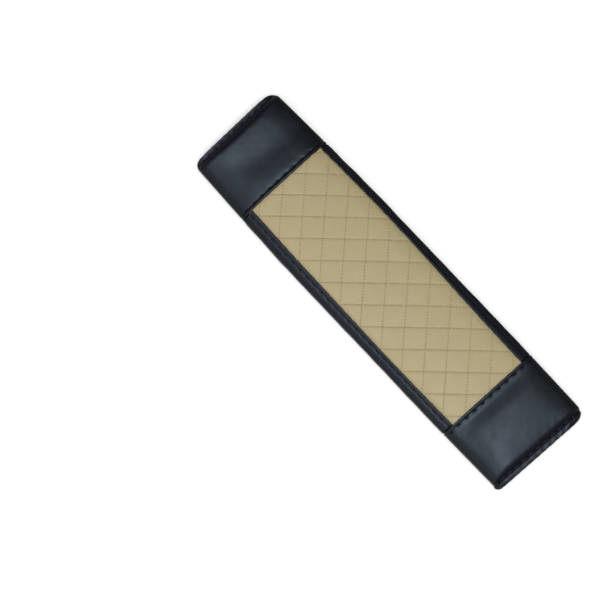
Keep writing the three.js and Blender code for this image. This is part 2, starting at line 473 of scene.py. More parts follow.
    def slant(self, end: End, x: np.ndarray, along: np.ndarray | float) -> np.ndarray:
        """How far an end panel stands out along the pad: straight lines across, mixed from the seam to the hem.

        Args:
            end: The panel's end.
            x: Places across the pad.
            along: Share of the way from the seam to the hem.

        Returns:
            Distance away from the pad's middle.
        """
        seam = end.shape.seam_shift + end.shape.seam_lean * x
        hem = end.shape.hem_shift + end.shape.hem_lean * x
        return seam * (1 - along) + hem * along

    def front_level(self, y: np.ndarray) -> np.ndarray:
        """Height of the shoulders' top at y: the whole section sinks towards the hem."""
        return self.sizes.front_level - self.hem_drop * self.pinch(y)

    def roll(self, x: np.ndarray, y: np.ndarray) -> np.ndarray:
        """How far the front rolls down at (x, y): a power of the share of the way to the side."""
        lower = self.sizes.lower_seam
        right_share = smooth(*self.right_run, np.clip(x / self.sizes.half_width, -1, 1))
        lower_share = 1 - smooth(lower + self.lower_run[0], lower + self.lower_run[1], y)
        reach = self.roll_reach - self.roll_gain * right_share * lower_share
        return self.side_roll * (1 - np.clip(self.inside(x, y) / reach, 0, 1)) ** self.roll_power

    def puff(self, y: np.ndarray, along: np.ndarray) -> np.ndarray:
        """Share of the panels' puff, before the crown rounds it.

        The lower panel swells to a plateau that falls towards its hem. The pad rises towards the upper panel,
        which dips in its first half and rises again in its second.

        Args:
            y: Places along the pad.
            along: Share of the way from the seam to the end.

        Returns:
            The share at each place.
        """
        lower = smooth(*self.lower_rise_run, along) * (1 - self.lower_fall * smooth(*self.lower_fall_run, along))
        steps = smooth(*self.upper_rise_run, y) - smooth(*self.upper_dip_run, along)
        return np.where(y > 0, self.upper_rise * (steps + smooth(*self.upper_lift_run, along)), lower)

    def padding(self, x: np.ndarray, y: np.ndarray) -> np.ndarray:
        """Height that the padding adds to the front at (x, y).

        It is the crown, a parabola across the pad, plus the puff of the end panels, less a soft fold across
        each of them. All of it dies away at the hems, and the roll of the sides comes off last.

        Args:
            x: Places across the pad.
            y: Places along the pad.

        Returns:
            Height over the shoulders' top.
        """
        s, up, low = self.sizes, UPPER_SHAPE, LOWER_SHAPE
        across = np.clip(x / s.half_width, -1, 1)
        roundness = 1 - across**2
        upper = y > 0
        length = np.where(upper, s.panel_length(End.UPPER), s.panel_length(End.LOWER))
        beyond = np.maximum(length - self.from_end(y), 0)
        along = np.minimum(beyond / length, 1)
        puff = self.panel_puff * self.puff(y, along) * np.sqrt(roundness)
        depth = np.where(upper, up.fold * smooth(*self.fold_run, across), low.fold)
        place = np.where(upper, up.fold_place - self.fold_slant * across, low.fold_place)
        fold = depth * bump(0, self.fold_breadth, along - place)
        fold = fold * smooth(0, 2 * s.seam_margin, beyond) * roundness
        crown_share = np.where(upper, 1, 1 - self.crown_loss * smooth(*self.crown_loss_run, along))
        crown = self.crown * roundness * crown_share
        return (crown + puff - fold) * (1 - self.pinch(y)) - self.roll(x, y)

    def section(
        self,
        y: np.ndarray,
        first: Stretch,
        last: Stretch,
        step: float,
        top: float | None = None,
        shoulder: float | None = None,
        setback: float = 0.0,
        front_from_fold: int = 0,
    ) -> Surface:
        """The plain section of the sleeve at each y, as a surface.

        Flat stretches are straight, the corners are arcs, and the under flap turns up along a cubic curve.

        Args:
            y: Places along the pad, shape (m,).
            first: First stretch that is wanted.
            last: Last stretch that is wanted.
            step: Distance between points round the section on the front, in millimetres.
            top: Height of the front, or None for the skin's height at each y.
            shoulder: Radius of the upper corners, or None for the skin's.
            setback: How far the flaps' free edges are set back.
            front_from_fold: -1 or 1 where the front is only that side's strip, up to its folded edge.

        Returns:
            The surface, before any padding lifts it.
        """
        s = self.sizes
        top = self.front_level(y) if top is None else top + 0 * y
        radius = s.shoulder_radius if shoulder is None else shoulder
        left, right = -self.side(y, -1), self.side(y, 1)
        quarter = math.pi / 2
        coarse = max(2 * step, 1.0)

        def straight(
            x0: np.ndarray, z0: np.ndarray | float, x1: np.ndarray, z1: np.ndarray | float, spacing: float,
            fine0: bool = False, fine1: bool = False,
        ) -> Trace:
            """A straight stretch from one point to another, with closer points at a rounded edge."""
            length = float(np.max(np.hypot(x1 - x0, z1 - z0)))
            t = graded(0, length, spacing, fine0, fine1)[:, None] / length
            return x0 + (x1 - x0) * t, z0 + (z1 - z0) * t, np.zeros_like(t)

        def arc(
            cx: np.ndarray, cz: np.ndarray | float, r: float, start: float, stop: float, faces_up: bool
        ) -> Trace:
            """A quarter circle about a centre, from one angle to another."""
            count = max(int(r * quarter / min(step, 0.8)), 6)
            angle = np.linspace(start, stop, count + 1)[:, None]
            lift = np.sin(angle) if faces_up else np.zeros_like(angle)
            return cx + r * np.cos(angle), cz + r * np.sin(angle), lift

        def turn() -> Trace:
            """The turn up to the under flap: a cubic curve, level at both ends."""
            start, stop = right - s.bottom_radius, s.flap_reach + s.flap_turn
            t = np.linspace(0, 1, 15)[:, None]
            middle = (start + stop) / 2
            x = (1 - t) ** 3 * start + 3 * (1 - t) * t * middle + t**3 * stop
            z = (3 * (1 - t) * t**2 + t**3) * s.under_flap_level
            return x, z + 0 * x, np.zeros_like(t)

        def front() -> Trace:
            """The front, or one side's strip of it."""
            start, stop = left + radius, right - radius
            if front_from_fold < 0:
                stop = -self.fold(y, -1)
            if front_from_fold > 0:
                start = self.fold(y, 1)
            spacing = step if front_from_fold == 0 else step / 2
            x, z, _ = straight(start, top, stop, top, spacing, front_from_fold > 0, front_from_fold < 0)
            return x, z + 0 * x, np.ones((len(x), 1))

        zero = np.zeros_like(y)
        reach, low = s.flap_reach - setback, s.under_flap_level
        makers = {
            Stretch.OVER_FLAP: lambda: straight(reach + zero, 0, left + s.bottom_radius, 0, coarse, True),
            Stretch.LEFT_BOTTOM: lambda: arc(
                left + s.bottom_radius, s.bottom_radius, s.bottom_radius, -quarter, -2 * quarter, False
            ),
            Stretch.LEFT_WALL: lambda: straight(left, s.bottom_radius, left, top - radius, coarse),
            Stretch.LEFT_SHOULDER: lambda: arc(left + radius, top - radius, radius, 2 * quarter, quarter, True),
            Stretch.FRONT: front,
            Stretch.RIGHT_SHOULDER: lambda: arc(right - radius, top - radius, radius, quarter, 0, True),
            Stretch.RIGHT_WALL: lambda: straight(right, top - radius, right, s.bottom_radius, coarse),
            Stretch.RIGHT_BOTTOM: lambda: arc(
                right - s.bottom_radius, s.bottom_radius, s.bottom_radius, 0, -quarter, False
            ),
            Stretch.UNDER_TURN: turn,
            Stretch.UNDER_FLAP: lambda: straight(
                s.flap_reach + s.flap_turn + zero, low, -reach, low, coarse, False, True
            ),
        }
        xs, zs, shares = [], [], []
        for stretch in Stretch:
            if not first.value <= stretch.value <= last.value:
                continue
            x, z, share = makers[stretch]()
            skip = 1 if xs else 0
            shape = (len(x), len(y))
            xs.append(np.broadcast_to(x, shape)[skip:])
            zs.append(np.broadcast_to(z, shape)[skip:])
            shares.append(np.broadcast_to(share, shape)[skip:])
        x, z, share = np.concatenate(xs), np.concatenate(zs), np.concatenate(shares)
        points = np.stack([x, np.broadcast_to(y, x.shape), z], axis=2)
        steps = np.linalg.norm(np.diff(points, axis=0), axis=2).mean(axis=1)
        arc_length = np.concatenate([[0], np.cumsum(steps)])
        return Surface(points, share, np.broadcast_to(arc_length[:, None], x.shape))

    def lifted(self, surface: Surface) -> Surface:
        """The surface with the padding's height added where it faces up."""
        points = surface.points.copy()
        points[..., 2] += surface.share * self.padding(points[..., 0], points[..., 1])
        return Surface(points, surface.share, surface.arc)


def grid_faces(rows: int, columns: int, index: np.ndarray, flip: bool = False) -> np.ndarray:
    """Quads of a grid whose vertices are numbered by index, turned over if flip is set.

    Args:
        rows: Number of points in the first direction.
        columns: Number of points in the second direction.
        index: Vertex numbers, shape (rows, columns).
        flip: Whether the faces look the other way.

    Returns:
        Vertex numbers of the faces, shape (n, 4).
    """
    a, b = index[: rows - 1, : columns - 1], index[1:, : columns - 1]
    c, d = index[1:, 1:], index[: rows - 1, 1:]
    order = (a, d, c, b) if flip else (a, b, c, d)
    return np.stack([part.ravel() for part in order], axis=1)


def new_piece(name: str, points: np.ndarray, faces: list | np.ndarray) -> bpy.types.Object:
    """Makes a smooth mesh object at the origin from points in millimetres.

    Args:
        name: The piece's name.
        points: Places of the vertices, shape (n, 3).
        faces: Vertex numbers of each face.

    Returns:
        The new object, linked to the scene.
    """
    mesh = bpy.data.meshes.new(name)
    mesh.from_pydata((np.asarray(points) * MM).tolist(), [], [list(map(int, face)) for face in faces])
    mesh.polygons.foreach_set("use_smooth", np.ones(len(mesh.polygons), bool))
    mesh.update()
    piece = bpy.data.objects.new(name, mesh)
    bpy.context.scene.collection.objects.link(piece)
    return piece


def shell(name: str, surface: Surface, thickness: np.ndarray | float) -> bpy.types.Object:
    """A closed sheet with round edges under a surface.

    Its middle lies half a thickness under the surface. Both faces stand off the middle by half the thickness
    times a quarter circle of the distance to the nearest edge, so the sheet closes in a round edge there.

    Args:
        name: The piece's name.
        surface: The outer face.
        thickness: Thickness, for the whole sheet or for each point.

    Returns:
        The new object.
    """
    points, normals = surface.points, surface.section_normals()
    half = np.broadcast_to(np.asarray(thickness, float) / 2, points.shape[:2])

    def edge_distance(axis: int) -> np.ndarray:
        """Distance of each point from the nearer edge along one direction of the grid."""
        steps = np.linalg.norm(np.diff(points, axis=axis), axis=2)
        pad = [(1, 0), (0, 0)] if axis == 0 else [(0, 0), (1, 0)]
        run = np.cumsum(np.pad(steps, pad), axis=axis)
        total = run[-1:, :] if axis == 0 else run[:, -1:]
        return np.minimum(run, total - run)

    distance = np.minimum(edge_distance(0), edge_distance(1))
    inset = 1 - np.clip(distance / half, 0, 1)
    stand = half * np.sqrt(np.clip(1 - inset**2, 0, 1))
    middle = points - normals * half[..., None]
    outer = middle + normals * stand[..., None]
    inner = middle - normals * stand[..., None]
    rows, columns = half.shape
    outer_index = np.arange(rows * columns).reshape(rows, columns)
    inner_index = outer_index.copy()
    inside = (rows - 2) * (columns - 2)
    inner_index[1:-1, 1:-1] = rows * columns + np.arange(inside).reshape(rows - 2, columns - 2)
    vertices = np.concatenate([outer.reshape(-1, 3), inner[1:-1, 1:-1].reshape(-1, 3)])
    vertices[:, 2] = np.maximum(vertices[:, 2], 0.02)
    faces = np.concatenate([
        grid_faces(rows, columns, outer_index),
        grid_faces(rows, columns, inner_index, flip=True),
    ])
    return new_piece(name, vertices, faces)


@dataclass(frozen=True)
class BlownSheet:
    """How far a sewn-down skin swells at the nodes of an even grid, from a cloth simulation.

    Attributes:
        x: Grid lines across the pad, in millimetres.
        y: Grid lines along the pad, in millimetres.
        swell: Height gained at each node, shape (x, y), in millimetres.
        frames: Frames that the simulation runs for.
    """

    x: np.ndarray
    y: np.ndarray
    swell: np.ndarray
    frames: ClassVar[int] = 20

    @classmethod
    def simulate(
        cls, x: np.ndarray, y: np.ndarray, height: np.ndarray, held: np.ndarray, pressure: float, growth: float,
        cap: float,
    ) -> "BlownSheet":
        """Blows a skin up from its first shape, and keeps only the height that each node gains.

        The skin is worked in centimetres, because the solver is steadier there. It grows by a share of its
        size while its held nodes stay, so it swells and puckers between them.

        Args:
            x: Grid lines across the pad.
            y: Grid lines along the pad.
            height: First height of each node.
            held: True where a node is sewn down.
            pressure: Air pressure under the skin.
            growth: Share by which the skin grows.
            cap: Height that the gain tends to where it is great.

        Returns:
            The swollen skin.
        """
        rows, columns = height.shape
        x_grid, y_grid = np.meshgrid(x, y, indexing="ij")
        points = np.stack([x_grid, y_grid, height], axis=2).reshape(-1, 3)
        index = np.arange(rows * columns).reshape(rows, columns)
        mesh = bpy.data.meshes.new("blown_sheet")
        mesh.from_pydata((points / 10).tolist(), [], grid_faces(rows, columns, index).tolist())
        skin = bpy.data.objects.new("blown_sheet", mesh)
        scene = bpy.context.scene
        scene.collection.objects.link(skin)
        pins = skin.vertex_groups.new(name="sewn")
        pins.add(index[held].tolist(), 1.0, "REPLACE")
        cloth = skin.modifiers.new("cloth", "CLOTH")
        settings = cloth.settings
        settings.quality = 8
        settings.mass = 0.2
        settings.tension_stiffness = 25
        settings.compression_stiffness = 25
        settings.shear_stiffness = 8
        settings.bending_stiffness = 1.0
        settings.shrink_min = -growth
        settings.use_pressure = True
        settings.uniform_pressure_force = pressure
        settings.vertex_group_mass = "sewn"
        settings.effector_weights.gravity = 0
        cloth.point_cache.frame_start = 1
        cloth.point_cache.frame_end = cls.frames
        for frame_number in range(1, cls.frames + 1):
            scene.frame_set(frame_number)
        blown = skin.evaluated_get(bpy.context.evaluated_depsgraph_get()).data
        after = np.empty(3 * rows * columns)
        blown.vertices.foreach_get("co", after)
        gain = after.reshape(rows, columns, 3)[..., 2] * 10 - height
        bpy.data.objects.remove(skin)
        bpy.data.meshes.remove(mesh)
        scene.frame_set(1)
        log.info("swell of the skin: %.2f to %.2f mm", gain.min(), gain.max())
        return cls(x, y, cap * np.tanh(gain / cap))

    def at(self, x: np.ndarray, y: np.ndarray) -> np.ndarray:
        """The swell at any places, from a cubic curve through the four nodes around them each way.

        Args:
            x: Places across the pad.
            y: Places along the pad.

        Returns:
            Height gained there.
        """

        def weights(values: np.ndarray, lines: np.ndarray) -> tuple[np.ndarray, list[np.ndarray]]:
            """The line before each value, and the weights of the four lines around it."""
            place = np.clip((values - lines[0]) / (lines[1] - lines[0]), 0, len(lines) - 1.001)
            first = place.astype(int)
            t = place - first
            return first, [
                ((2 - t) * t - 1) * t / 2, ((3 * t - 5) * t * t + 2) / 2, ((4 - 3 * t) * t + 1) * t / 2,
                (t - 1) * t * t / 2,
            ]

        i, across = weights(x, self.x)
        j, along = weights(y, self.y)
        total = np.zeros(np.broadcast(x, y).shape)
        for a in range(4):
            row = np.clip(i + a - 1, 0, len(self.x) - 1)
            for b in range(4):
                column = np.clip(j + b - 1, 0, len(self.y) - 1)
                total += across[a] * along[b] * self.swell[row, column]
        return total


@dataclass(frozen=True)
class StitchRow:
    """A row of stitches: its spacing, and the pulled-in groove that it makes in the leather.

    Attributes:
        pitch: Distance from one stitch to the next, in millimetres.
        length: Length of thread that shows in each stitch.
        radius: Radius of the thread.
        inset: Distance of the row from the edge that it holds.
        depth: Depth of the groove at the middle of a stitch.
        width: Half width of the groove.
        offset: Distance along the row to its first stitch.
    """

    pitch: float = 5.8
    length: float = 3.0
    radius: float = 0.3
    inset: float = 2.4
    depth: float = 0.5
    width: float = 0.8
    offset: float = 1.0

    def beat(self, along: np.ndarray) -> np.ndarray:
        """1 at the middle of each stitch and 0 half way between two."""
        return 0.5 + 0.5 * np.cos(TAU * (along - self.offset) / self.pitch)

    def groove(self, along: np.ndarray, from_edge: np.ndarray) -> np.ndarray:
        """Height of the leather by the row: sunk under each stitch, and swelling a little between two."""
        pull = 0.3 + 0.7 * self.beat(along)
        sunk = -self.depth * pull * bump(self.inset, self.width, from_edge)
        pucker = 0.1 * (0.5 - self.beat(along)) * bump(self.inset, 3 * self.width, from_edge)
        return sunk + pucker

    def scallop(self, along: np.ndarray, from_edge: np.ndarray, reach: float = 0.13) -> np.ndarray:
        """How far the edge stands out between the stitches, dying away from the edge."""
        return reach * (0.5 - self.beat(along)) * np.exp(-from_edge / self.inset)

    def centres(self, length: float) -> np.ndarray:
        """Places of the stitches' middles along a row of a length, clear of both its ends."""
        count = int((length - self.offset - self.length / 2) / self.pitch) + 1
        places = self.offset + self.pitch * np.arange(max(count, 0))
        return places[places > self.length / 2]


def stitch_meshes(
    line: np.ndarray, normals: np.ndarray, radius: float, proud: float
) -> tuple[np.ndarray, list[list[int]]]:
    """Small thread bodies, one for each stitch, that follow the leather.

    A stitch's height over the leather is a parabola that stands proud in its middle and dips into the leather
    at both ends, and its round section grows thin there.

    Args:
        line: Points on the leather along each stitch, shape (stitches, rings, 3).
        normals: Unit normals of the leather there, of the same shape.
        radius: Radius of the thread.
        proud: Height of the thread's middle line over the leather.

    Returns:
        Vertices and the faces' vertex numbers.
    """
    count, rings, sides = len(line), line.shape[1], 8
    s = np.linspace(-1, 1, rings)
    height = proud - (proud + 0.9 * radius) * s**2
    girth = radius * np.sqrt(np.clip(1.02 - s**4, 0, 1))
    angle = np.arange(sides) / sides * TAU
    across = unit(np.cross(normals, np.gradient(line, axis=1)))
    line = line + normals * height[None, :, None]
    spread = np.cos(angle)[:, None] * across[:, :, None] + np.sin(angle)[:, None] * normals[:, :, None]
    body = line[:, :, None] + spread * girth[None, :, None, None]
    caps = line[:, [0, -1]]
    per = rings * sides + 2
    vertices = np.concatenate([body.reshape(count, -1, 3), caps], axis=1).reshape(-1, 3)
    ring, side = np.meshgrid(np.arange(rings - 1), np.arange(sides), indexing="ij")
    after = (side + 1) % sides
    quads = np.stack([
        ring * sides + side, ring * sides + after, (ring + 1) * sides + after, (ring + 1) * sides + side
    ], axis=-1).reshape(-1, 4)
    here = np.arange(sides)
    there = (here + 1) % sides
    first, last = rings * sides, rings * sides + 1
    end = (rings - 1) * sides
    head = np.stack([there, here, np.full(sides, first)], axis=1)
    tail = np.stack([end + here, end + there, np.full(sides, last)], axis=1)
    faces = [
        *(quads[None] + per * np.arange(count)[:, None, None]).reshape(-1, 4).tolist(),
        *(head[None] + per * np.arange(count)[:, None, None]).reshape(-1, 3).tolist(),
        *(tail[None] + per * np.arange(count)[:, None, None]).reshape(-1, 3).tolist(),
    ]
    return vertices, faces


@dataclass(frozen=True)
class FlapSeams:
    """Rows sewn along the over flap: one by its free edge, and one by each edge of the tape behind it.

    Attributes:
        sizes: Sizes of the pad.
        row: Sizes of the stitches.
        tape_inset: Distance of a tape's row from the tape's edge.
    """

    sizes: PadSizes
    row: StitchRow = StitchRow(pitch=4.6, length=2.7, inset=2.5, depth=0.55, width=0.6)
    tape_inset: float = 1.0

    def arcs(self) -> tuple[float, float, float]:
        """Distance of each row from the flap's free edge."""
        tape = self.sizes.tape_half_width - self.tape_inset
        return self.row.inset, self.sizes.flap_reach - tape, self.sizes.flap_reach + tape

    def run(self, y: np.ndarray) -> np.ndarray:
        """Distance along a row at y, from the lower end of the pad."""
        return y + self.sizes.half_length

    def groove(self, arc: np.ndarray, y: np.ndarray) -> np.ndarray:
        """Height of the flap by its rows.

        Args:
            arc: Distance from the flap's free edge.
            y: Places along the pad.

        Returns:
            Height over the plain flap.
        """
        total = np.zeros(arc.shape)
        for place in self.arcs():
            total += self.row.groove(self.run(y), np.abs(arc - place) + self.row.inset)
        return total

    def lay(self, surface: Surface, normals: np.ndarray, threads: "Threads") -> None:
        """Lays the rows' threads on a panel whose first point is on the flap's free edge.

        Args:
            surface: The panel's outer face.
            normals: Its unit normals.
            threads: Collects the thread.
        """
        for place in self.arcs():
            i = int(np.argmin(np.abs(surface.arc[:, 0] - place)))
            threads.add_line(surface.points[i], normals[i], self.run(surface.points[i, :, 1]), self.row)


class Threads:
    """Collects rows of stitches and makes one piece of thread from them."""

    def __init__(self, name: str, proud: float = 0.12) -> None:
        """Starts an empty collection.

        Args:
            name: Name of the piece that it makes.
            proud: Height of each stitch's middle over the leather, in millimetres.
        """
        self.name = name
        self.proud = proud
        self.parts: list[tuple[np.ndarray, list]] = []

    def add_line(self, points: np.ndarray, normals: np.ndarray, run: np.ndarray, row: StitchRow) -> None:
        """Lays a row along a line of points.

        Args:
            points: Points of the line on the leather, shape (n, 3).
            normals: Unit normals at the points.
            run: Distance of each point along the row.
            row: The row's sizes.
        """
        places = row.centres(float(run[-1]))
        places = places[(places > run[0] + row.length / 2) & (places < run[-1] - row.length / 2)]
        if not len(places):
            return

        where = places[:, None] + np.linspace(-0.5, 0.5, 9) * row.length

        def at(values: np.ndarray) -> np.ndarray:
            """Values of the line at the points of every stitch."""
            return np.stack([np.interp(where, run, values[:, k]) for k in range(3)], axis=-1)

        self.parts.append(stitch_meshes(at(points), unit(at(normals)), row.radius, self.proud))

    def build(self) -> bpy.types.Object:
        """Joins all the stitches in one piece."""
        vertices, faces, start = [], [], 0
        for points, part_faces in self.parts:
            vertices.append(np.maximum(points, [-np.inf, -np.inf, 0.03]))
            faces.extend([[start + i for i in face] for face in part_faces])
            start += len(points)
        return new_piece(self.name, np.concatenate(vertices), faces)


class Nodes:
    """Short ways to make, fill and join shader nodes in one tree."""

    def __init__(self, tree: bpy.types.NodeTree) -> None:
        """Takes the tree that the nodes go into.

        Args:
            tree: The tree of a material, a world or a group.
        """
        self.tree = tree

    def fill(self, node: bpy.types.Node, inputs: dict) -> bpy.types.Node:
        """Sets or links a node's inputs.

        Args:
            node: The node.
            inputs: Values or sockets by input name or number.

        Returns:
            The same node.
        """
        for key, value in inputs.items():
            if isinstance(value, bpy.types.NodeSocket):
                self.tree.links.new(value, node.inputs[key])
            else:
                node.inputs[key].default_value = value
        return node

    def add(self, kind: str, inputs: dict | None = None, **settings: object) -> bpy.types.Node:
        """Adds a node. Its properties come first, because a group has no inputs before it has its tree.

        Args:
            kind: The node's type name.
            inputs: Values or sockets by input name or number.
            **settings: Properties of the node.

        Returns:
            The new node.
        """
        node = self.tree.nodes.new(kind)
        for key, value in settings.items():
            setattr(node, key, value)
        return self.fill(node, inputs or {})

    def place(self) -> bpy.types.NodeSocket:
        """The place on the object, in metres."""
        return self.add("ShaderNodeTexCoord").outputs["Object"]

    def math(self, operation: str, *values: object) -> bpy.types.NodeSocket:
        """The result of a math node on up to three values."""
        return self.add("ShaderNodeMath", dict(enumerate(values)), operation=operation).outputs[0]

    def noise(self, place: object, scale: object, detail: float) -> bpy.types.NodeSocket:
        """Noise of 0 to 1 at a place, with its size and its number of finer layers."""
        return self.add("ShaderNodeTexNoise", {"Vector": place, "Scale": scale, "Detail": detail}).outputs["Fac"]

    def ramp(
        self, value: object, low: object, high: object, to_low: float = 0.0, to_high: float = 1.0
    ) -> bpy.types.NodeSocket:
        """A value mapped from one range to another along a smooth step."""
        inputs = {"Value": value, "From Min": low, "From Max": high, "To Min": to_low, "To Max": to_high}
        return self.add("ShaderNodeMapRange", inputs, interpolation_type="SMOOTHSTEP").outputs["Result"]

    def mix(self, factor: object, first: object, second: object) -> bpy.types.NodeSocket:
        """Two colours mixed by a factor."""
        return self.add("ShaderNodeMix", {0: factor, 6: first, 7: second}, data_type="RGBA").outputs[2]

    def relief(self, height: object, strength: float, depth: float, **before: object) -> bpy.types.NodeSocket:
        """The normal of a skin with a fine relief.

        Args:
            height: Height of the relief, as a share of its depth.
            strength: How strongly it shows.
            depth: Its depth in millimetres.
            **before: Normal, where the skin has one already.

        Returns:
            The new normal.
        """
        inputs = {"Height": height, "Strength": strength, "Distance": depth * MM, **before}
        return self.add("ShaderNodeBump", inputs).outputs["Normal"]


def rgba(red: float, green: float, blue: float) -> Colour:
    """A linear colour from three sRGB values of 0 to 255."""

    def linear(value: float) -> float:
        """One channel's linear value."""
        c = value / 255
        return c / 12.92 if c <= 0.04045 else ((c + 0.055) / 1.055) ** 2.4

    return linear(red), linear(green), linear(blue), 1.0


def group_tree(
    name: str, inputs: dict[str, float], outputs: list[str]
) -> tuple[bpy.types.NodeTree, Nodes, bpy.types.NodeOutputs]:
    """Starts a shader group whose sockets are plain values.

    Args:
        name: Name of the group.
        inputs: Default value of each input.
        outputs: Names of the outputs.

    Returns:
        The tree, a maker for its nodes, and its input node's outputs.
    """
    tree = bpy.data.node_groups.new(name, "ShaderNodeTree")
    for socket, value in inputs.items():
        made = tree.interface.new_socket(socket, in_out="INPUT", socket_type="NodeSocketFloat")
        made.default_value = value
    for socket in outputs:
        tree.interface.new_socket(socket, in_out="OUTPUT", socket_type="NodeSocketFloat")
    nodes = Nodes(tree)
    return tree, nodes, nodes.add("NodeGroupInput").outputs


def grain_group() -> bpy.types.NodeTree:
    """Leather grain: rounded cells between fine creases, with soft unevenness under them.

    The height is the distance to the nearest cell border, flattened at the top, plus soft noise.
    """
    tree, n, given = group_tree("LeatherGrain", {"Cell": 900.0, "Unevenness": 0.5}, ["Height", "Crease"])
    place = n.place()
    warp = n.add("ShaderNodeTexNoise", {"Vector": place, "Scale": 420.0, "Detail": 2.0})
    reach = (1.1 * MM, 1.1 * MM, 1.1 * MM)
    push = n.add("ShaderNodeVectorMath", {0: warp.outputs["Color"], 1: reach}, operation="MULTIPLY")
    bent = n.add("ShaderNodeVectorMath", {0: place, 1: push.outputs[0]}, operation="ADD").outputs[0]
    cells = n.add(
        "ShaderNodeTexVoronoi", {"Vector": bent, "Scale": given["Cell"], "Randomness": 0.9},
        feature="DISTANCE_TO_EDGE",
    )
    # The crease share also masks painted shade into the leather's colour.
    crease = n.ramp(cells.outputs["Distance"], 0.0, 0.16)
    uneven = n.math("MULTIPLY", n.noise(place, 260.0, 3.0), given["Unevenness"])
    n.add("NodeGroupOutput", {"Height": n.math("ADD", crease, uneven), "Crease": crease})
    return tree


def weave_group() -> bpy.types.NodeTree:
    """Plain weave: two crossed rows of round yarns, from the object's X and Y and their height."""
    tree, n, given = group_tree("Weave", {"Yarns": 1500.0}, ["Height", "Shade"])
    place = n.place()
    split = n.add("ShaderNodeSeparateXYZ", {0: place}).outputs
    side = n.math("ADD", split[0], split[2])
    turns = n.math("MULTIPLY", given["Yarns"], TAU)
    warp, weft = (n.math("SINE", n.math("MULTIPLY", way, turns)) for way in (side, split[1]))
    height = n.math("MULTIPLY_ADD", n.math("MULTIPLY", warp, weft), 0.5, 0.5)
    fuzz = n.noise(place, 3000.0, 2.0)
    # The shade output is painted shade between the yarns, from their height, mixed with random fuzz.
    shade = n.math("MULTIPLY_ADD", fuzz, 0.6, n.math("MULTIPLY", height, 0.4))
    n.add("NodeGroupOutput", {"Height": height, "Shade": shade})
    return tree


def stitch_line_group() -> bpy.types.NodeTree:
    """One family of parallel sewn lines on X and Y, in millimetres.

    The distance across the lines is folded to the nearest line. The crease is a narrow band there, a hole is a
    dot half way between two stitches, and puckers are waves along the line that fade away from it.
    """
    inputs = {
        "Across X": 0.7, "Across Y": 0.7, "Start": 0.0, "Pitch": 12.0, "Stitch": 1.75, "First": 0.0,
        "Crease Width": 0.55, "Hole Size": 0.34, "Pucker Reach": 1.3,
    }
    tree, n, given = group_tree("StitchLines", inputs, ["Crease", "Hole", "Pucker"])
    place = n.place()
    scaled = n.add("ShaderNodeVectorMath", {0: place, 1: (1000.0, 1000.0, 1000.0)}, operation="MULTIPLY").outputs[0]
    x, y, _ = n.add("ShaderNodeSeparateXYZ", {0: scaled}).outputs
    across = n.math("MULTIPLY_ADD", x, given["Across X"], n.math("MULTIPLY", y, given["Across Y"]))
    side = n.math("ABSOLUTE", given["Across Y"])
    turned = n.math("MULTIPLY", n.math("SIGN", given["Across Y"]), given["Across X"])
    run = n.math("SUBTRACT", n.math("MULTIPLY", x, side), n.math("MULTIPLY", y, turned))
    from_start = n.math("SUBTRACT", across, given["Start"])
    line = n.math("MULTIPLY", n.math("ROUND", n.math("DIVIDE", from_start, given["Pitch"])), given["Pitch"])
    near = n.math("ABSOLUTE", n.math("SUBTRACT", from_start, line))
    beat = n.math("DIVIDE", n.math("SUBTRACT", run, given["First"]), given["Stitch"])
    part = n.math("SUBTRACT", n.math("FRACT", beat), 0.5)
    gap = n.math("MULTIPLY", part, given["Stitch"])
    far = n.math("SQRT", n.math("ADD", n.math("MULTIPLY", near, near), n.math("MULTIPLY", gap, gap)))
    crease = n.ramp(near, 0.0, given["Crease Width"], 1.0, 0.0)
    hole = n.ramp(far, n.math("MULTIPLY", given["Hole Size"], 0.4), given["Hole Size"], 1.0, 0.0)
    wave = n.math("SINE", n.math("MULTIPLY", beat, TAU))
    pucker = n.math("MULTIPLY", wave, n.ramp(near, 0.1, given["Pucker Reach"], 1.0, 0.0))
    n.add("NodeGroupOutput", {"Crease": crease, "Hole": hole, "Pucker": pucker})
    return tree


def mottle_group() -> bpy.types.NodeTree:
    """Slow colour and gloss changes over a skin: two sizes of noise, mixed to a value of 0 to 1."""
    tree, n, given = group_tree("Mottle", {"Broad": 28.0, "Close": 160.0}, ["Value"])
    place = n.place()
    broad, close = n.noise(place, given["Broad"], 3.0), n.noise(place, given["Close"], 4.0)
    value = n.ramp(n.math("MULTIPLY_ADD", close, 0.35, n.math("MULTIPLY", broad, 0.65)), 0.35, 0.65)
    n.add("NodeGroupOutput", {"Value": value})
    return tree


@dataclass(frozen=True)
class LeatherFinish:
    """A synthetic leather.

    Attributes:
        name: Name of the material.
        dark: Colour in the creases of the grain, painted shade there, and in the mottle's low patches.
        light: Colour on top of the grain.
        roughness: Roughness where the skin is smoothest and where it is roughest.
        cell: Grain cells to the metre.
        grain_depth: Depth of the grain, in millimetres.
        grain_strength: Strength of the grain's relief.
        gloss_tint: Colour of the gloss.
        gloss: Strength of the gloss.
    """

    name: str
    dark: Colour
    light: Colour
    roughness: tuple[float, float]
    cell: float
    grain_depth: float
    grain_strength: float = 0.4
    gloss_tint: Colour = (1.0, 1.0, 1.0, 1.0)
    gloss: float = 0.5


@dataclass(frozen=True)
class ClothFinish:
    """A cloth.

    Attributes:
        name: Name of the material.
        dark: Colour between the yarns, partly painted shade there, and in the fuzz's low patches.
        light: Colour on top of the yarns.
        yarns: Yarns to the metre.
        relief: Height of the yarns' relief, in millimetres.
    """

    name: str
    dark: Colour
    light: Colour
    yarns: float
    relief: float


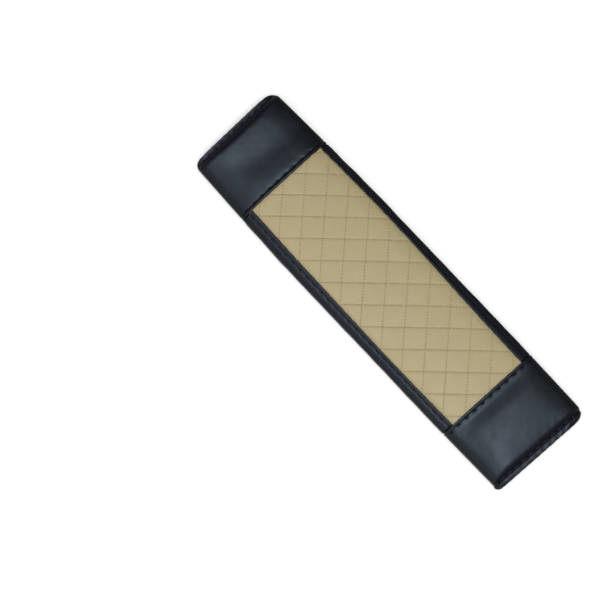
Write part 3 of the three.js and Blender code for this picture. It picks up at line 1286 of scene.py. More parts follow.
class Finishes:
    """The materials, made once from shared groups.

    Attributes:
        faint_crease: Strength of the rising lines' painted crease shade, as a share of the falling lines'.
        faint_hole: The same for their needle holes.
        crease_painted_shade: How dark the painted shade along a crease is.
        hole_painted_shade: How dark the painted shade in a needle hole is.
        pucker_rise: Height of the puckers, as a share of the holes' depth.
        sewn_depth: Depth of the needle holes, in millimetres.
    """

    faint_crease = 0.2
    faint_hole = 0.35
    crease_painted_shade = 0.2
    hole_painted_shade = 0.4
    pucker_rise = 0.7
    sewn_depth = 0.12

    def __init__(self) -> None:
        """Builds the groups and then each material."""
        self.grain = grain_group()
        self.weave = weave_group()
        self.mottle = mottle_group()
        self.lines = stitch_line_group()
        self.black = self.leather(LeatherFinish(
            "black_leather", rgba(9, 9, 11), rgba(14, 15, 17), roughness=(0.42, 0.5), cell=950.0, grain_depth=0.045,
            gloss_tint=(0.66, 0.82, 1.0, 1.0), gloss=0.45,
        ))
        self.beige = self.leather(LeatherFinish(
            "beige_leather", rgba(166, 151, 112), rgba(172, 158, 120), roughness=(0.5, 0.62), cell=1300.0,
            grain_depth=0.03,
        ))
        self.sew(self.beige)
        self.dark_thread = self.thread("dark_thread", rgba(4, 4, 8), rgba(9, 9, 15))
        self.beige_thread = self.thread("beige_thread", rgba(146, 132, 96), rgba(176, 162, 124))
        self.lining = self.cloth(ClothFinish("lining_cloth", rgba(24, 25, 28), rgba(44, 45, 50), 1300.0, 0.12))
        self.hook = self.cloth(ClothFinish("hook_tape", rgba(14, 14, 16), rgba(34, 34, 37), 800.0, 0.25))
        self.loop = self.cloth(ClothFinish("loop_tape", rgba(18, 18, 20), rgba(46, 46, 50), 1800.0, 0.3))
        self.foam = self.cloth(ClothFinish("foam", rgba(120, 121, 124), rgba(160, 161, 163), 900.0, 0.2))

    def start(self, name: str) -> tuple[bpy.types.Material, Nodes, bpy.types.Node]:
        """A new material, a maker for its nodes, and its shader."""
        material = bpy.data.materials.new(name)
        material.use_nodes = True
        return material, Nodes(material.node_tree), material.node_tree.nodes["Principled BSDF"]

    def leather(self, finish: LeatherFinish) -> bpy.types.Material:
        """Synthetic leather: a grained skin whose colour and gloss drift a little."""
        material, n, shader = self.start(finish.name)
        grain = n.add("ShaderNodeGroup", {"Cell": finish.cell}, node_tree=self.grain).outputs
        drift = n.add("ShaderNodeGroup", node_tree=self.mottle).outputs["Value"]
        # Painted shade: the grain's creases darken the colour, and the mottle adds a random drift on top.
        mottle_and_crease_shade = n.math("MULTIPLY", drift, grain["Crease"])
        n.fill(shader, {
            "Base Color": n.mix(mottle_and_crease_shade, finish.dark, finish.light),
            "Roughness": n.ramp(drift, 0.0, 1.0, *finish.roughness),
            "Specular Tint": finish.gloss_tint,
            "Specular IOR Level": finish.gloss,
            "Normal": n.relief(grain["Height"], finish.grain_strength, finish.grain_depth),
        })
        return material

    def sew(self, material: bpy.types.Material) -> None:
        """Adds both families of quilting lines to a leather: dark creases, needle holes and puckers.

        The creases and needle holes are darkened with painted shade. The rising lines are fainter than the falling
        ones.

        Args:
            material: The insert's leather.
        """
        n = Nodes(material.node_tree)
        shader = material.node_tree.nodes["Principled BSDF"]
        falling, rising = math.radians(QuiltedInsert.falling_angle), math.radians(QuiltedInsert.rising_angle)
        families = (
            (math.sin(falling), math.cos(falling), QuiltedInsert.falling_start),
            (math.sin(rising), -math.cos(rising), QuiltedInsert.rising_start),
        )
        strong, faint = (
            n.add("ShaderNodeGroup", {
                "Across X": across_x, "Across Y": across_y, "Start": start, "Pitch": QuiltedInsert.pitch,
                "Stitch": QuiltedInsert.stitch.pitch, "First": QuiltedInsert.stitch.offset,
            }, node_tree=self.lines).outputs
            for across_x, across_y, start in families
        )
        faint_crease = n.math("MULTIPLY", faint["Crease"], self.faint_crease)
        crease = n.math("MAXIMUM", strong["Crease"], faint_crease)
        hole = n.math("MAXIMUM", strong["Hole"], n.math("MULTIPLY", faint["Hole"], self.faint_hole))
        pucker = n.math("ADD", strong["Pucker"], faint["Pucker"])
        # Painted shade: the colour darkens towards brown along the creases and in the needle holes.
        dark = n.math(
            "MAXIMUM", n.math("MULTIPLY", crease, self.crease_painted_shade), n.math("MULTIPLY", hole, self.hole_painted_shade)
        )
        plain, before = (shader.inputs[key].links[0].from_socket for key in ("Base Color", "Normal"))
        height = n.math("MULTIPLY_ADD", pucker, self.pucker_rise, n.math("MULTIPLY", hole, -1.0))
        n.fill(shader, {
            "Base Color": n.mix(dark, plain, rgba(84, 72, 44)),
            "Normal": n.relief(height, 0.8, self.sewn_depth, Normal=before),
        })

    def cloth(self, finish: ClothFinish) -> bpy.types.Material:
        """Cloth: crossed yarns with fuzz between a dark and a light shade."""
        material, n, shader = self.start(finish.name)
        weave = n.add("ShaderNodeGroup", {"Yarns": finish.yarns}, node_tree=self.weave).outputs
        # Painted shade: the weave's shade output darkens the colour between the yarns, mixed with random fuzz.
        n.fill(shader, {
            "Base Color": n.mix(weave["Shade"], finish.dark, finish.light),
            "Roughness": 0.92,
            "Sheen Weight": 0.25,
            "Normal": n.relief(weave["Height"], 0.6, finish.relief),
        })
        return material

    def thread(self, name: str, dark: Colour, light: Colour) -> bpy.types.Material:
        """Sewing thread: fine fibres that change between two shades.

        Args:
            name: Name of the material.
            dark: The darker shade.
            light: The lighter shade.

        Returns:
            The material.
        """
        material, n, shader = self.start(name)
        fibre = n.noise(n.place(), 2600.0, 3.0)
        n.fill(shader, {
            "Base Color": n.mix(n.ramp(fibre, 0.35, 0.65), dark, light),
            "Roughness": 0.8,
            "Specular IOR Level": 0.15,
            "Normal": n.relief(fibre, 0.5, 0.05),
        })
        return material


def finish_piece(piece: bpy.types.Object, material: bpy.types.Material, slot: str, *nodes: str) -> None:
    """Gives a piece its material and body, and hides the solids that it stands for.

    Args:
        piece: The piece.
        material: Its material.
        slot: Not used.
        *nodes: Solids that it replaces.
    """
    piece.data.materials.append(material)
    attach(piece, BODY)
    if nodes:
        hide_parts(*nodes)
    log.info("%s: %d faces", piece.name, len(piece.data.polygons))


@dataclass(frozen=True)
class SleevePart:
    """A part of the sleeve.

    Attributes:
        form: The sleeve's form.
        finishes: The materials.
    """

    form: SleeveForm
    finishes: Finishes

    @property
    def sizes(self) -> PadSizes:
        """Sizes of the pad."""
        return self.form.sizes


@dataclass(frozen=True)
class QuiltedInsert(SleevePart):
    """The quilted beige insert: stitched channels that cross in diamonds, with soft pillows between them.

    Attributes:
        step: Distance between points of its mesh, in millimetres.
        depth: How far it lies below the panels' faces.
        thickness: Thickness of the quilted sheet.
        pitch: Distance between two lines of a family.
        falling_angle: Angle of the lines that fall to the right, in degrees.
        falling_start: Distance of one of them from the pad's middle.
        rising_angle: Angle of the lines that rise to the right.
        rising_start: Distance of one of them from the pad's middle.
        relief: Height of the skin over the falling lines.
        channel: Half width of a sewn channel.
        rising_share: Depth of the rising lines, as a share of the falling lines' depth.
        dome: Height of the dome in each diamond.
        pucker: Height of the puckers beside a line.
        edge_run: Distance from the edge over which the relief grows.
        stitch: The quilting stitches.
    """

    step: float = 0.47
    depth: float = 1.1
    thickness: float = 1.5
    pitch: float = 12.25
    falling_angle: float = 44.1
    falling_start: float = 2.15
    rising_angle: float = 42.5
    rising_start: float = 11.15
    relief: float = 0.22
    channel: float = 0.3
    rising_share: float = 0.2
    dome: float = 0.14
    pucker: float = 0.02
    edge_run: float = 2.4
    stitch: StitchRow = StitchRow(pitch=1.75, length=1.35, radius=0.14, inset=0.0, depth=0.16, width=0.35)

    def phases(self, x: np.ndarray, y: np.ndarray) -> tuple[np.ndarray, np.ndarray, np.ndarray, np.ndarray]:
        """Distance from the nearest stitch line of each family, and the run along it.

        A family's lines are where the distance across them is a whole number of pitches.

        Args:
            x: Places across the pad.
            y: Places along the pad.

        Returns:
            The distances from the falling and the rising line, and the runs along them.
        """
        a, b = math.radians(self.falling_angle), math.radians(self.rising_angle)
        across_a = x * math.sin(a) + y * math.cos(a) - self.falling_start
        across_b = x * math.sin(b) - y * math.cos(b) - self.rising_start
        near_a = across_a - self.pitch * np.round(across_a / self.pitch)
        near_b = across_b - self.pitch * np.round(across_b / self.pitch)
        run_a = x * math.cos(a) - y * math.sin(a)
        run_b = x * math.cos(b) + y * math.sin(b)
        return near_a, near_b, run_a, run_b

    def height(self, x: np.ndarray, y: np.ndarray) -> np.ndarray:
        """Height of the quilting over its sunk lines.

        Each family lifts the skin from a line up to 1 along an exponential of the distance, the two are
        multiplied, a shallow dome is added, and puckers follow each line.

        Args:
            x: Places across the pad.
            y: Places along the pad.

        Returns:
            Height over the channels.
        """
        s = self.sizes
        near_a, near_b, run_a, run_b = self.phases(x, y)
        lift_a = 1 - np.exp(-np.abs(near_a) / self.channel)
        lift_b = 1 - self.rising_share * np.exp(-np.abs(near_b) / self.channel)
        dome = np.abs(np.cos(math.pi * (near_a / self.pitch + 0.5)) * np.cos(math.pi * (near_b / self.pitch + 0.5)))
        pillow = self.relief * lift_a * lift_b + self.dome * dome
        pillow = pillow * (1 + 0.12 * ripple(x, y, 14, 5))
        puckers = np.zeros_like(pillow)
        for near, run in ((near_a, run_a), (near_b, run_b)):
            wave = np.sin(TAU * run / (3 * self.stitch.pitch) + 2 * ripple(x, y, 15, 7))
            puckers += self.pucker * wave * bump(1.5, 1.0, np.abs(near))
        side = smooth(-0.2, self.edge_run, np.minimum(self.form.fold(y, 1) - x, self.form.fold(y, -1) + x))
        end = smooth(-0.2, self.edge_run, np.minimum(s.upper_seam - y, y - s.lower_seam))
        return (pillow + puckers) * side * end

    def level(self, x: np.ndarray, y: np.ndarray) -> np.ndarray:
        """Height of the insert's face at (x, y), in millimetres over the ground."""
        base = self.sizes.front_level - self.depth
        return base + self.form.padding(x, y) + self.height(x, y)

    def cover(self) -> bpy.types.Object:
        """The quilted face with its margins under the panels, as a closed sheet."""
        s = self.sizes
        y = np.arange(s.lower_seam - s.seam_margin, s.upper_seam + s.seam_margin + self.step / 2, self.step)
        left = s.strip_width - s.seam_margin - self.form.side(y, -1)
        right = self.form.side(y, 1) - s.strip_width + s.seam_margin
        t = np.linspace(0, 1, int((right - left).max() / self.step) + 1)[:, None]
        x = left + (right - left) * t
        top = Surface.facing_up(x, y, self.level(x, np.broadcast_to(y, x.shape)))
        piece = shell("quilted_cover", top, self.thickness)
        finish_piece(piece, self.finishes.beige, "beige_leather", "quilted_insert")
        return piece

    def threads(self) -> bpy.types.Object:
        """Stitches along both families of lines, laid in the sunk channels."""
        s = self.sizes
        made = Threads("quilting_threads", proud=0.1)
        reach = s.half_length + s.half_width
        run = np.arange(-reach, reach, self.stitch.pitch / 4)
        families = (
            (math.radians(self.falling_angle), self.falling_start, 1),
            (math.radians(self.rising_angle), self.rising_start, -1),
        )
        for angle, start, sign in families:
            for k in range(-int(reach / self.pitch), int(reach / self.pitch) + 1):
                across = start + k * self.pitch
                x = across * math.sin(angle) + run * math.cos(angle)
                y = sign * (across * math.cos(angle) - run * math.sin(angle))
                self.lay_line(made, x, y, run, sign)
        piece = made.build()
        finish_piece(piece, self.finishes.beige_thread, "beige_leather")
        return piece

    def lay_line(self, made: Threads, x: np.ndarray, y: np.ndarray, run: np.ndarray, sign: int) -> None:
        """Keeps the part of a line that shows on the insert, settles it in its channel and stitches it.

        Args:
            made: Collects the thread.
            x: Places of the line across the pad.
            y: Places of the line along the pad.
            run: Distance of each point along the line.
            sign: 1 for a falling line and -1 for a rising one.
        """
        s = self.sizes
        near_a, near_b, _, _ = self.phases(x, y)
        near = near_a if sign > 0 else near_b
        angle = math.radians(self.falling_angle if sign > 0 else self.rising_angle)
        x = x - near * math.sin(angle)
        y = y - sign * near * math.cos(angle)
        clear = 0.3
        shown = (y < s.upper_seam - clear) & (y > s.lower_seam + clear)
        shown &= (x < self.form.fold(y, 1) - clear) & (x > -self.form.fold(y, -1) + clear)
        if shown.sum() < 12:
            return
        x, y, run = x[shown], y[shown], run[shown]
        points = np.stack([x, y, self.level(x, y) + 0.05], axis=1)
        normals = np.broadcast_to((0.0, 0.0, 1.0), points.shape)
        start = run[0] - (run[0] - self.stitch.offset) % self.stitch.pitch
        made.add_line(points, normals, run - start + self.stitch.offset, self.stitch)


@dataclass(frozen=True)
class EndPanel(SleevePart):
    """A black panel that wraps one end of the sleeve, with a folded edge on the insert and a turned hem.

    Attributes:
        end: The panel's end of the pad.
        step: Distance between points of its mesh, in millimetres.
        bead: Height of the bead along its folded edge.
        bead_run: Run from the seam in which the bead ends.
        pressure: Pressure under the front while it is blown up.
        growth: Share by which the front grows then.
        node_gap: Distance between nodes of the grid that is blown up.
        held_border: How far the grid is held down at its sides, seam and hem.
        side_calm: Run from the side in which the swell grows.
        seam_calm: Run from the seam in which the swell grows.
        uneven: Height of the broad and of the close unevenness.
        seam_row: Stitches along the seam.
    """

    end: End
    step: float = 0.5
    bead: float = 0.5
    bead_run: Run = (1.0, 2.3)
    pressure: float = 0.25
    growth: float = 0.005
    node_gap: float = 1.0
    held_border: tuple[float, float, float] = (4.0, 0.6, 2.2)
    side_calm: Run = (3.0, 17.0)
    seam_calm: Run = (2.0, 13.0)
    uneven: tuple[float, float] = (0.07, 0.012)
    seam_row: StitchRow = StitchRow(pitch=5.9, inset=2.2, depth=0.42, width=0.5)

    @property
    def hem_row(self) -> StitchRow:
        """The hem's stitches, which lie nearer the edge at the upper end."""
        return StitchRow(pitch=5.4, length=2.8, inset=self.end.shape.hem, depth=0.35, width=0.55)

    @property
    def length(self) -> float:
        """Length of the panel along the pad."""
        return self.sizes.panel_length(self.end)

    def lip(self, arc: np.ndarray, hem_run: np.ndarray) -> np.ndarray:
        """Height of the hem's rolled lip: ribbed by the stitches, and rising to the edge only at the upper end.

        Args:
            arc: Distance round the section.
            hem_run: Distance from the hem's edge.

        Returns:
            Height over the plain surface.
        """
        inset = self.hem_row.inset
        ribs = self.end.shape.lip * (0.95 + 0.16 * (0.5 - self.hem_row.beat(arc)))
        if self.end is End.UPPER:
            return ribs * (1 - smooth(0.1 * inset, 0.9 * inset, hem_run))
        fall = 0.6 + 0.4 * np.clip(hem_run / (0.7 * inset), 0, 1)
        return ribs * fall * (1 - smooth(0.68 * inset, 0.95 * inset, hem_run))

    def blown(self) -> BlownSheet:
        """Blows up the front of the panel, held round its border and by each stitch of its seam and its hem."""
        s, seam = self.sizes, self.sizes.seam(self.end)
        at_side, at_seam, at_hem = self.held_border
        half = s.half_width - at_side / 2
        x = np.linspace(-half, half, int(2 * half / self.node_gap) + 1)
        y = np.sort(np.linspace(seam, seam + self.end.value * self.length, int(self.length / self.node_gap) + 1))
        x_grid, y_grid = np.meshgrid(x, y, indexing="ij")
        from_seam = np.abs(y_grid - seam)
        held = (np.abs(x_grid) > s.half_width - at_side) | (from_seam < at_seam) | (from_seam > self.length - at_hem)
        for row, run in ((self.seam_row, from_seam), (self.hem_row, self.length - from_seam)):
            held |= (np.abs(run - row.inset) < 0.6 * self.node_gap) & (row.beat(x_grid) > 0.6)
        height = self.form.padding(x_grid, y_grid)
        return BlownSheet.simulate(x, y, height, held, self.pressure, self.growth, self.end.shape.swell)

    def drawn(self, plain: Surface, seam_run: np.ndarray, hem_run: np.ndarray) -> Surface:
        """The padded surface with its edges scalloped and slanted, and with the simulated swell on its front.

        Args:
            plain: The plain section.
            seam_run: Distance from the seam, for each point.
            hem_run: Distance from the hem, for each point.

        Returns:
            The drawn surface.
        """
        shape, away = self.end.shape, self.end.value
        points = self.form.lifted(plain).points
        points[..., 1] -= away * self.seam_row.scallop(plain.arc, seam_run)
        points[..., 1] += away * self.hem_row.scallop(plain.arc, hem_run)
        points[..., 1] += away * self.form.slant(self.end, points[..., 0], seam_run / self.length)
        kept = smooth(*self.side_calm, self.form.inside(points[..., 0], plain.points[0, :, 1]))
        kept = kept * smooth(1.5, shape.hem_calm, hem_run)
        kept = kept * (shape.seam_swell + (1 - shape.seam_swell) * smooth(*self.seam_calm, seam_run))
        points[..., 2] += plain.share * kept * self.blown().at(points[..., 0], points[..., 1])
        return Surface(points, plain.share, plain.arc)

    def surface(self) -> tuple[Surface, np.ndarray]:
        """The panel's outer face, and the distance from its seam of each station along it.

        The drawn surface is pushed out by the sum of the bead, the lip, the stitches' grooves, the hem's crease
        and a soft unevenness that dies away at the edges.
        """
        s = self.sizes
        from_seam = graded(0, self.length, self.step)
        y = s.seam(self.end) + self.end.value * from_seam
        order = np.argsort(y)
        y, from_seam = y[order], from_seam[order]
        plain = self.form.section(y, Stretch.OVER_FLAP, Stretch.UNDER_FLAP, self.step)
        seam_run = np.broadcast_to(from_seam, plain.arc.shape)
        hem_run = self.length - seam_run
        drawn = self.drawn(plain, seam_run, hem_run)
        x, y_grid, z = drawn.points[..., 0], drawn.points[..., 1], drawn.points[..., 2]
        upward = smooth(0.0, 0.6, plain.share)
        push = self.bead * (1 - smooth(*self.bead_run, seam_run)) * upward
        push = push + self.lip(plain.arc, hem_run) * smooth(0.4, 0.98, plain.share)
        push = push + self.seam_row.groove(plain.arc, seam_run) + self.hem_row.groove(plain.arc, hem_run)
        push = push - self.end.shape.hem_crease * bump(self.hem_row.inset, 1.0, hem_run) * upward
        broad, close = self.uneven
        seed = 20 + self.end.value
        uneven = broad * ripple(x + z, y_grid, 19, seed) + close * ripple(x + z, y_grid, 6, seed + 5)
        calm = smooth(0.5, 4.0, seam_run) * smooth(1.0, 5.0, hem_run)
        push = push + uneven * calm * (0.25 * smooth(0.5, 5.0, z) + 0.75 * upward)
        push = push + FlapSeams(s).groove(plain.arc, y_grid)
        return drawn.pushed(push), from_seam

    def thickness(self, from_seam: np.ndarray) -> np.ndarray:
        """Two layers at the folded edge and at the hem, and one between them."""
        s = self.sizes
        near = np.minimum(from_seam, self.length - from_seam)
        return s.skin + (s.fold_thickness - s.skin) * (1 - smooth(3.5, 5.0, near))

    def build(self, threads: Threads) -> bpy.types.Object:
        """Makes the panel and lays the stitches of its seam, its hem and its flap.

        Args:
            threads: Collects the black thread.

        Returns:
            The panel.
        """
        surface, from_seam = self.surface()
        word = self.end.shape.name
        piece = shell(f"{word}_end_cover", surface, self.thickness(from_seam)[None, :])
        finish_piece(piece, self.finishes.black, "black_leather", f"{word}_end_panel")
        normals = surface.normals()
        for row, run in ((self.seam_row, from_seam), (self.hem_row, self.length - from_seam)):
            j = int(np.argmin(np.abs(run - row.inset)))
            threads.add_line(surface.points[:, j], normals[:, j], surface.arc[:, j], row)
        FlapSeams(self.sizes).lay(surface, normals, threads)
        return piece


@dataclass(frozen=True)
class SidePanel(SleevePart):
    """A black panel along one side: a narrow strip of the front, the side wall and one flap of the back.

    Attributes:
        sign: -1 for the left side and 1 for the right.
        step: Distance between points of its mesh, in millimetres.
        lap: How far it runs on under each end panel.
        lap_dip: How far it dips to go under them.
        lap_run: Run past their seams in which it dips.
        seam_stations: First and last place from a seam, and the gap, of the closer stations there.
        strip_crease: Depth of the crease that the strip's row lies in.
        row_fade: Run past the seams in which the strip's row ends.
        uneven: Height of the soft unevenness.
        turn_thickness: How much thicker it is at its turned edges.
        strip_row: Stitches along the strip.
    """

    sign: int
    step: float = 0.7
    lap: float = 4.0
    lap_dip: float = 1.25
    lap_run: Run = (-0.6, 0.12)
    seam_stations: tuple[float, float, float] = (-1.8, 1.0, 0.14)
    strip_crease: float = 0.6
    row_fade: Run = (-1.5, 0.0)
    uneven: float = 0.1
    turn_thickness: float = 0.35
    strip_row: StitchRow = StitchRow(pitch=5.7, radius=0.22, inset=2.4, depth=0.1, width=0.5)

    def stations(self) -> np.ndarray:
        """Stations along the panel, closer at both seams, where it dips under the end panels."""
        s = self.sizes
        y = graded(s.lower_seam - self.lap, s.upper_seam + self.lap, self.step)
        near_seam = [seam + np.arange(*self.seam_stations) for seam in (s.lower_seam, s.upper_seam)]
        y = np.sort(np.concatenate([y, *near_seam]))
        return y[np.concatenate([[True], np.diff(y) > 0.04])]

    def past_seams(self, points: np.ndarray) -> np.ndarray:
        """Distance of each point past the slanted seam of the nearer end panel, negative between the seams."""
        s, x, y = self.sizes, points[..., 0], points[..., 1]
        upper_seam = s.upper_seam + self.form.slant(End.UPPER, x, 0.0)
        lower_seam = s.lower_seam - self.form.slant(End.LOWER, x, 0.0)
        return np.maximum(y - upper_seam, lower_seam - y)

    def surface(self) -> tuple[Surface, np.ndarray, np.ndarray]:
        """The panel's outer face, and each point's distance from the strip's fold and from the flap's edge.

        The padded surface is pushed in where it laps under the end panels, by the crease and the stitches of
        its strip and by those of the flap, and a soft unevenness is added away from its edges.
        """
        s, y = self.sizes, self.stations()
        if self.sign < 0:
            plain = self.form.section(y, Stretch.OVER_FLAP, Stretch.FRONT, self.step, front_from_fold=-1)
        else:
            plain = self.form.section(y, Stretch.FRONT, Stretch.UNDER_FLAP, self.step, front_from_fold=1)
        total = plain.arc[-1:, :]
        from_fold = total - plain.arc if self.sign < 0 else plain.arc
        from_flap = plain.arc if self.sign < 0 else total - plain.arc
        points = self.form.lifted(plain).points
        along = np.broadcast_to(y - s.lower_seam, plain.arc.shape)
        points[..., 0] += -self.sign * self.strip_row.scallop(along, from_fold) * plain.share
        past = self.past_seams(points)
        near_ground = 1 - smooth(0.5, 4.0, points[..., 2])
        row_shown = 1 - smooth(*self.row_fade, past)
        push = -self.lap_dip * smooth(*self.lap_run, past) * (1 - near_ground)
        push = push - self.strip_crease * (bump(self.strip_row.inset, 0.55, from_fold) * row_shown)
        push = push + self.strip_row.groove(along, from_fold) * row_shown
        push = push - 0.12 * smooth(-1.2, 0.0, past) * near_ground
        uneven = self.uneven * ripple(points[..., 0] + points[..., 2], points[..., 1], 16, 30 + self.sign)
        push = push + uneven * smooth(3.0, 7.0, from_fold) * smooth(2.0, 8.0, from_flap) * (1 - near_ground)
        if self.sign < 0:
            push = push + FlapSeams(s).groove(from_flap, points[..., 1])
        return Surface(points, plain.share, plain.arc).pushed(push), from_fold, from_flap

    def build(self, threads: Threads) -> bpy.types.Object:
        """Makes the panel and lays the stitches of its strip and of its flap.

        Args:
            threads: Collects the black thread.

        Returns:
            The panel.
        """
        s = self.sizes
        surface, from_fold, from_flap = self.surface()
        thickness = s.skin + self.turn_thickness * (1 - smooth(3.2, 4.6, np.minimum(from_fold, from_flap)))
        word = "left" if self.sign < 0 else "right"
        piece = shell(f"{word}_side_cover", surface, thickness)
        finish_piece(piece, self.finishes.black, "black_leather", f"{word}_side_panel")
        normals = surface.normals()
        y = surface.points[0, :, 1]
        shown = (y > s.lower_seam + 0.5) & (y < s.upper_seam - 0.5)
        i = int(np.argmin(np.abs(from_fold[:, 0] - self.strip_row.inset)))
        threads.add_line(surface.points[i][shown], normals[i][shown], (y - s.lower_seam)[shown], self.strip_row)
        if self.sign < 0:
            kept = Surface(surface.points[:, shown], surface.share[:, shown], surface.arc[:, shown])
            FlapSeams(s).lay(kept, normals[:, shown], threads)
        return piece


@dataclass(frozen=True)
class InnerLayers(SleevePart):
    """What the sleeve holds inside: foam under the front, the lining, and the closure tape between the flaps.

    Attributes:
        end_gap: Distance of the lining from each end of the pad, in millimetres.
        lining_setback: How far its edges lie behind the flaps' edges.
        foam_gap: Distance of the foam's top under the panels' faces.
        insert_gap: How much lower it lies under the insert.
        insert_overlap: How far that lower part runs on past the seams.
        least_foam: Least thickness of the foam.
        tape_pile: Height of the unevenness on the tapes.
    """

    end_gap: float = 5.0
    lining_setback: float = 2.0
    foam_gap: float = 1.2
    insert_gap: float = 1.8
    insert_overlap: float = 3.6
    least_foam: float = 0.6
    tape_pile: float = 0.04

    def lining(self) -> bpy.types.Object:
        """The lining, a thin sheet inside the flaps and walls that crosses flat under the foam.

        Its flat width is the length of its section, less one skin for each of the eight turns at its corners.
        """
        s = self.sizes
        depth = s.skin + s.seat
        stop = s.half_length - self.end_gap
        y = graded(-stop, stop, 2.0)
        top = s.belt_ceiling + s.lining + depth
        plain = self.form.section(
            y, Stretch.OVER_FLAP, Stretch.UNDER_FLAP, 1.0, top=top,
            shoulder=s.lining_corner_radius + depth, setback=self.lining_setback,
        )
        piece = shell("lining_cloth", plain.pushed(np.full(plain.arc.shape, -depth)), s.lining)
        finish_piece(piece, self.finishes.lining, "lining_cloth", "lining")
        return piece

    def foam(self) -> bpy.types.Object:
        """The foam sheet: flat below, crowned above, with round edges."""
        s = self.sizes
        low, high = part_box("foam_core")
        y = graded(low[1] / MM, high[1] / MM, 2.0)
        half = np.minimum(self.form.side(y, -1), self.form.side(y, 1)) - s.shoulder_radius
        t = graded(-1, 1, 0.04, False, False)[:, None]
        x = half * t
        y_grid = np.broadcast_to(y, x.shape)
        margin = self.insert_overlap
        under_insert = smooth(-1.0, 1.0, np.minimum(s.upper_seam + margin - y_grid, y_grid - s.lower_seam + margin))
        top = self.form.front_level(y_grid) - self.foam_gap - self.insert_gap * under_insert
        top = top + self.form.padding(x, y_grid)
        piece = shell("foam_sheet", Surface.facing_up(x, y, top), np.maximum(top - s.foam_floor, self.least_foam))
        finish_piece(piece, self.finishes.foam, "foam", "foam_core")
        return piece

    def tape(self, name: str, node: str, floor: float, material: bpy.types.Material) -> bpy.types.Object:
        """A strip of tape with a slightly uneven face and round edges.

        Args:
            name: The piece's name.
            node: The solid that it stands for.
            floor: Height of its underside.
            material: Its material.

        Returns:
            The tape.
        """
        s = self.sizes
        low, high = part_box(node)
        y = graded(low[1] / MM, high[1] / MM, 1.0)
        x = graded(-s.tape_half_width, s.tape_half_width, 0.8)[:, None] + 0 * y
        ceiling = high[2] / MM
        top = ceiling - 0.06 + self.tape_pile * ripple(x, np.broadcast_to(y, x.shape), 2.2, 41)
        piece = shell(name, Surface.facing_up(x, y, top), ceiling - floor - 0.1)
        finish_piece(piece, material, node.replace("strip", "tape"), node)
        return piece

    def build(self) -> None:
        """Makes every inner piece."""
        s = self.sizes
        self.foam()
        self.lining()
        self.tape("hook_band", "hook_strip", s.hook_floor, self.finishes.hook)
        self.tape("loop_band", "loop_strip", s.loop_floor, self.finishes.loop)


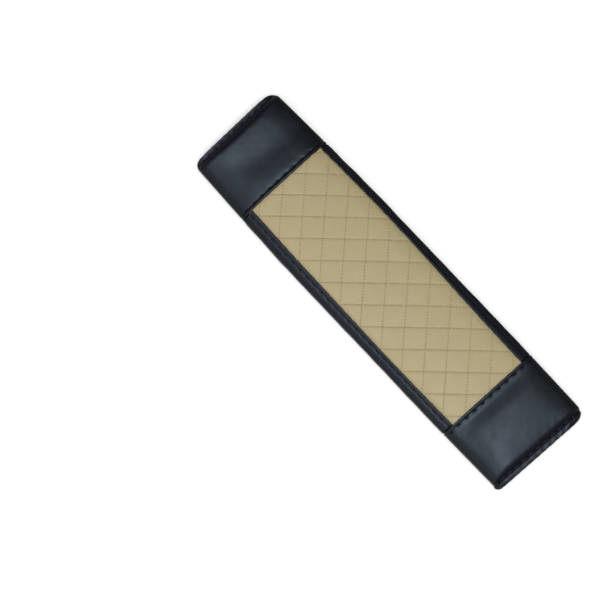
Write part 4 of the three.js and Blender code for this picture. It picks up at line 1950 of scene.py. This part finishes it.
@dataclass(frozen=True)
class Studio:
    """A pale floor, soft lamps and a long lens over the pad.

    Attributes:
        azimuth: Direction of the camera round the pad, in degrees.
        elevation: Height of the camera over the floor, in degrees.
        distance: Distance of the camera, in metres.
        field_width: Width that the image shows at the pad, in metres.
        pad_right: Distance of the pad's middle right of the image's middle, in metres.
        pad_up: Distance of the pad's middle above the image's middle, in metres.
        pad_level: Height of the pad's front, in metres.
        sensor: Width of the camera's sensor, in millimetres.
        world_level: Grey of the surrounding light.
        floor_glow: Strength of the floor's glow by the pad.
        glow_run: Run from the pad in which the glow grows to full white, in metres.
        floor_reach: Distance of the floor's edges, in millimetres.
    """

    azimuth: float = -43.0
    elevation: float = 81.0
    distance: float = 1.5
    field_width: float = 0.3333
    pad_right: float = 0.0485
    pad_up: float = 0.0069
    pad_level: float = 0.018
    sensor: float = 36.0
    world_level: float = 0.09
    floor_glow: float = 0.27
    glow_run: Run = (0.25, 1.5)
    floor_reach: float = 6000.0

    def camera(self) -> None:
        """Places the camera so that the pad's middle lies right of and above the middle of the image."""
        a, e = math.radians(self.azimuth), math.radians(self.elevation)
        right = Vector((math.cos(a), math.sin(a), 0))
        back = Vector((math.sin(a) * math.cos(e), -math.cos(a) * math.cos(e), math.sin(e)))
        aim = Vector((0, 0, self.pad_level)) - right * self.pad_right - back.cross(right) * self.pad_up
        data = bpy.data.cameras.new("camera")
        data.sensor_width = self.sensor
        data.lens = self.sensor * self.distance / self.field_width
        camera = bpy.data.objects.new("camera", data)
        bpy.context.scene.collection.objects.link(camera)
        camera.location = aim + back * self.distance
        camera.rotation_euler = (-back).to_track_quat("-Z", "Y").to_euler()
        bpy.context.scene.camera = camera

    def floor(self) -> None:
        """A wide, plain floor of a near-white colour, which glows more away from the pad, as a lit sweep does."""
        reach = self.floor_reach
        corners = np.array([[-reach, -reach, 0], [reach, -reach, 0], [reach, reach, 0], [-reach, reach, 0]])
        floor = new_piece("floor", corners, [[0, 1, 2, 3]])
        material = bpy.data.materials.new("floor")
        material.use_nodes = True
        nodes = Nodes(material.node_tree)
        seen = nodes.add("ShaderNodeLightPath").outputs["Is Camera Ray"]
        far = nodes.add("ShaderNodeVectorMath", {0: nodes.place()}, operation="LENGTH").outputs["Value"]
        nodes.fill(material.node_tree.nodes["Principled BSDF"], {
            "Base Color": nodes.mix(seen, (0.3, 0.3, 0.3, 1), (0.95, 0.95, 0.95, 1)),
            "Emission Color": (1, 1, 1, 1),
            "Emission Strength": nodes.math("MULTIPLY", seen, nodes.ramp(far, *self.glow_run, self.floor_glow, 1.0)),
            "Roughness": 0.9,
            "Specular IOR Level": 0.1,
        })
        floor.data.materials.append(material)

    def lamp(self, name: str, direction: tuple[float, float, float], far: float, size: float, power: float) -> None:
        """A square soft lamp that looks at the pad from a direction.

        Args:
            name: Name of the lamp.
            direction: Where it stands, seen from the pad.
            far: Distance from the pad, in metres.
            size: Length of its side, in metres.
            power: Power, in watts.
        """
        data = bpy.data.lights.new(name, "AREA")
        data.shape = "SQUARE"
        data.size = size
        data.energy = power
        lamp = bpy.data.objects.new(name, data)
        bpy.context.scene.collection.objects.link(lamp)
        way = Vector(direction).normalized()
        lamp.location = way * far
        lamp.rotation_euler = way.to_track_quat("Z", "Y").to_euler()

    def world(self) -> None:
        """An even, neutral surrounding light, which the camera sees as white."""
        world = bpy.data.worlds.new("studio")
        world.use_nodes = True
        nodes = Nodes(world.node_tree)
        seen = nodes.add("ShaderNodeLightPath").outputs["Is Camera Ray"]
        grey = (self.world_level, self.world_level, self.world_level, 1.0)
        colour = nodes.mix(seen, grey, (1.0, 1.0, 1.0, 1.0))
        nodes.fill(world.node_tree.nodes["Background"], {"Color": colour})
        bpy.context.scene.world = world

    def build(self) -> None:
        """Makes the camera, the floor, the lamps and the world, and sets the plain view transform."""
        self.camera()
        self.floor()
        self.world()
        self.lamp("ceiling_lamp", (-0.04, -0.1, 1.0), 1.5, 0.68, 15.2)
        self.lamp("key_lamp", (-1.0, -0.45, 0.9), 2.2, 4.0, 45.0)
        bpy.context.scene.view_settings.view_transform = "Standard"


def main() -> None:
    """Builds the studio and every piece of the pad."""
    logging.basicConfig(level=logging.INFO, format="%(message)s")
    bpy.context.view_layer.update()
    sizes = PadSizes.from_frame()
    form = SleeveForm(sizes)
    finishes = Finishes()
    Studio().build()
    insert = QuiltedInsert(form, finishes)
    insert.cover()
    insert.threads()
    threads = Threads("topstitch_threads")
    for end in End:
        EndPanel(form, finishes, end).build(threads)
    for sign in (-1, 1):
        SidePanel(form, finishes, sign).build(threads)
    finish_piece(threads.build(), finishes.dark_thread, "black_leather")
    InnerLayers(form, finishes).build()


if __name__ == "__main__":
    main()
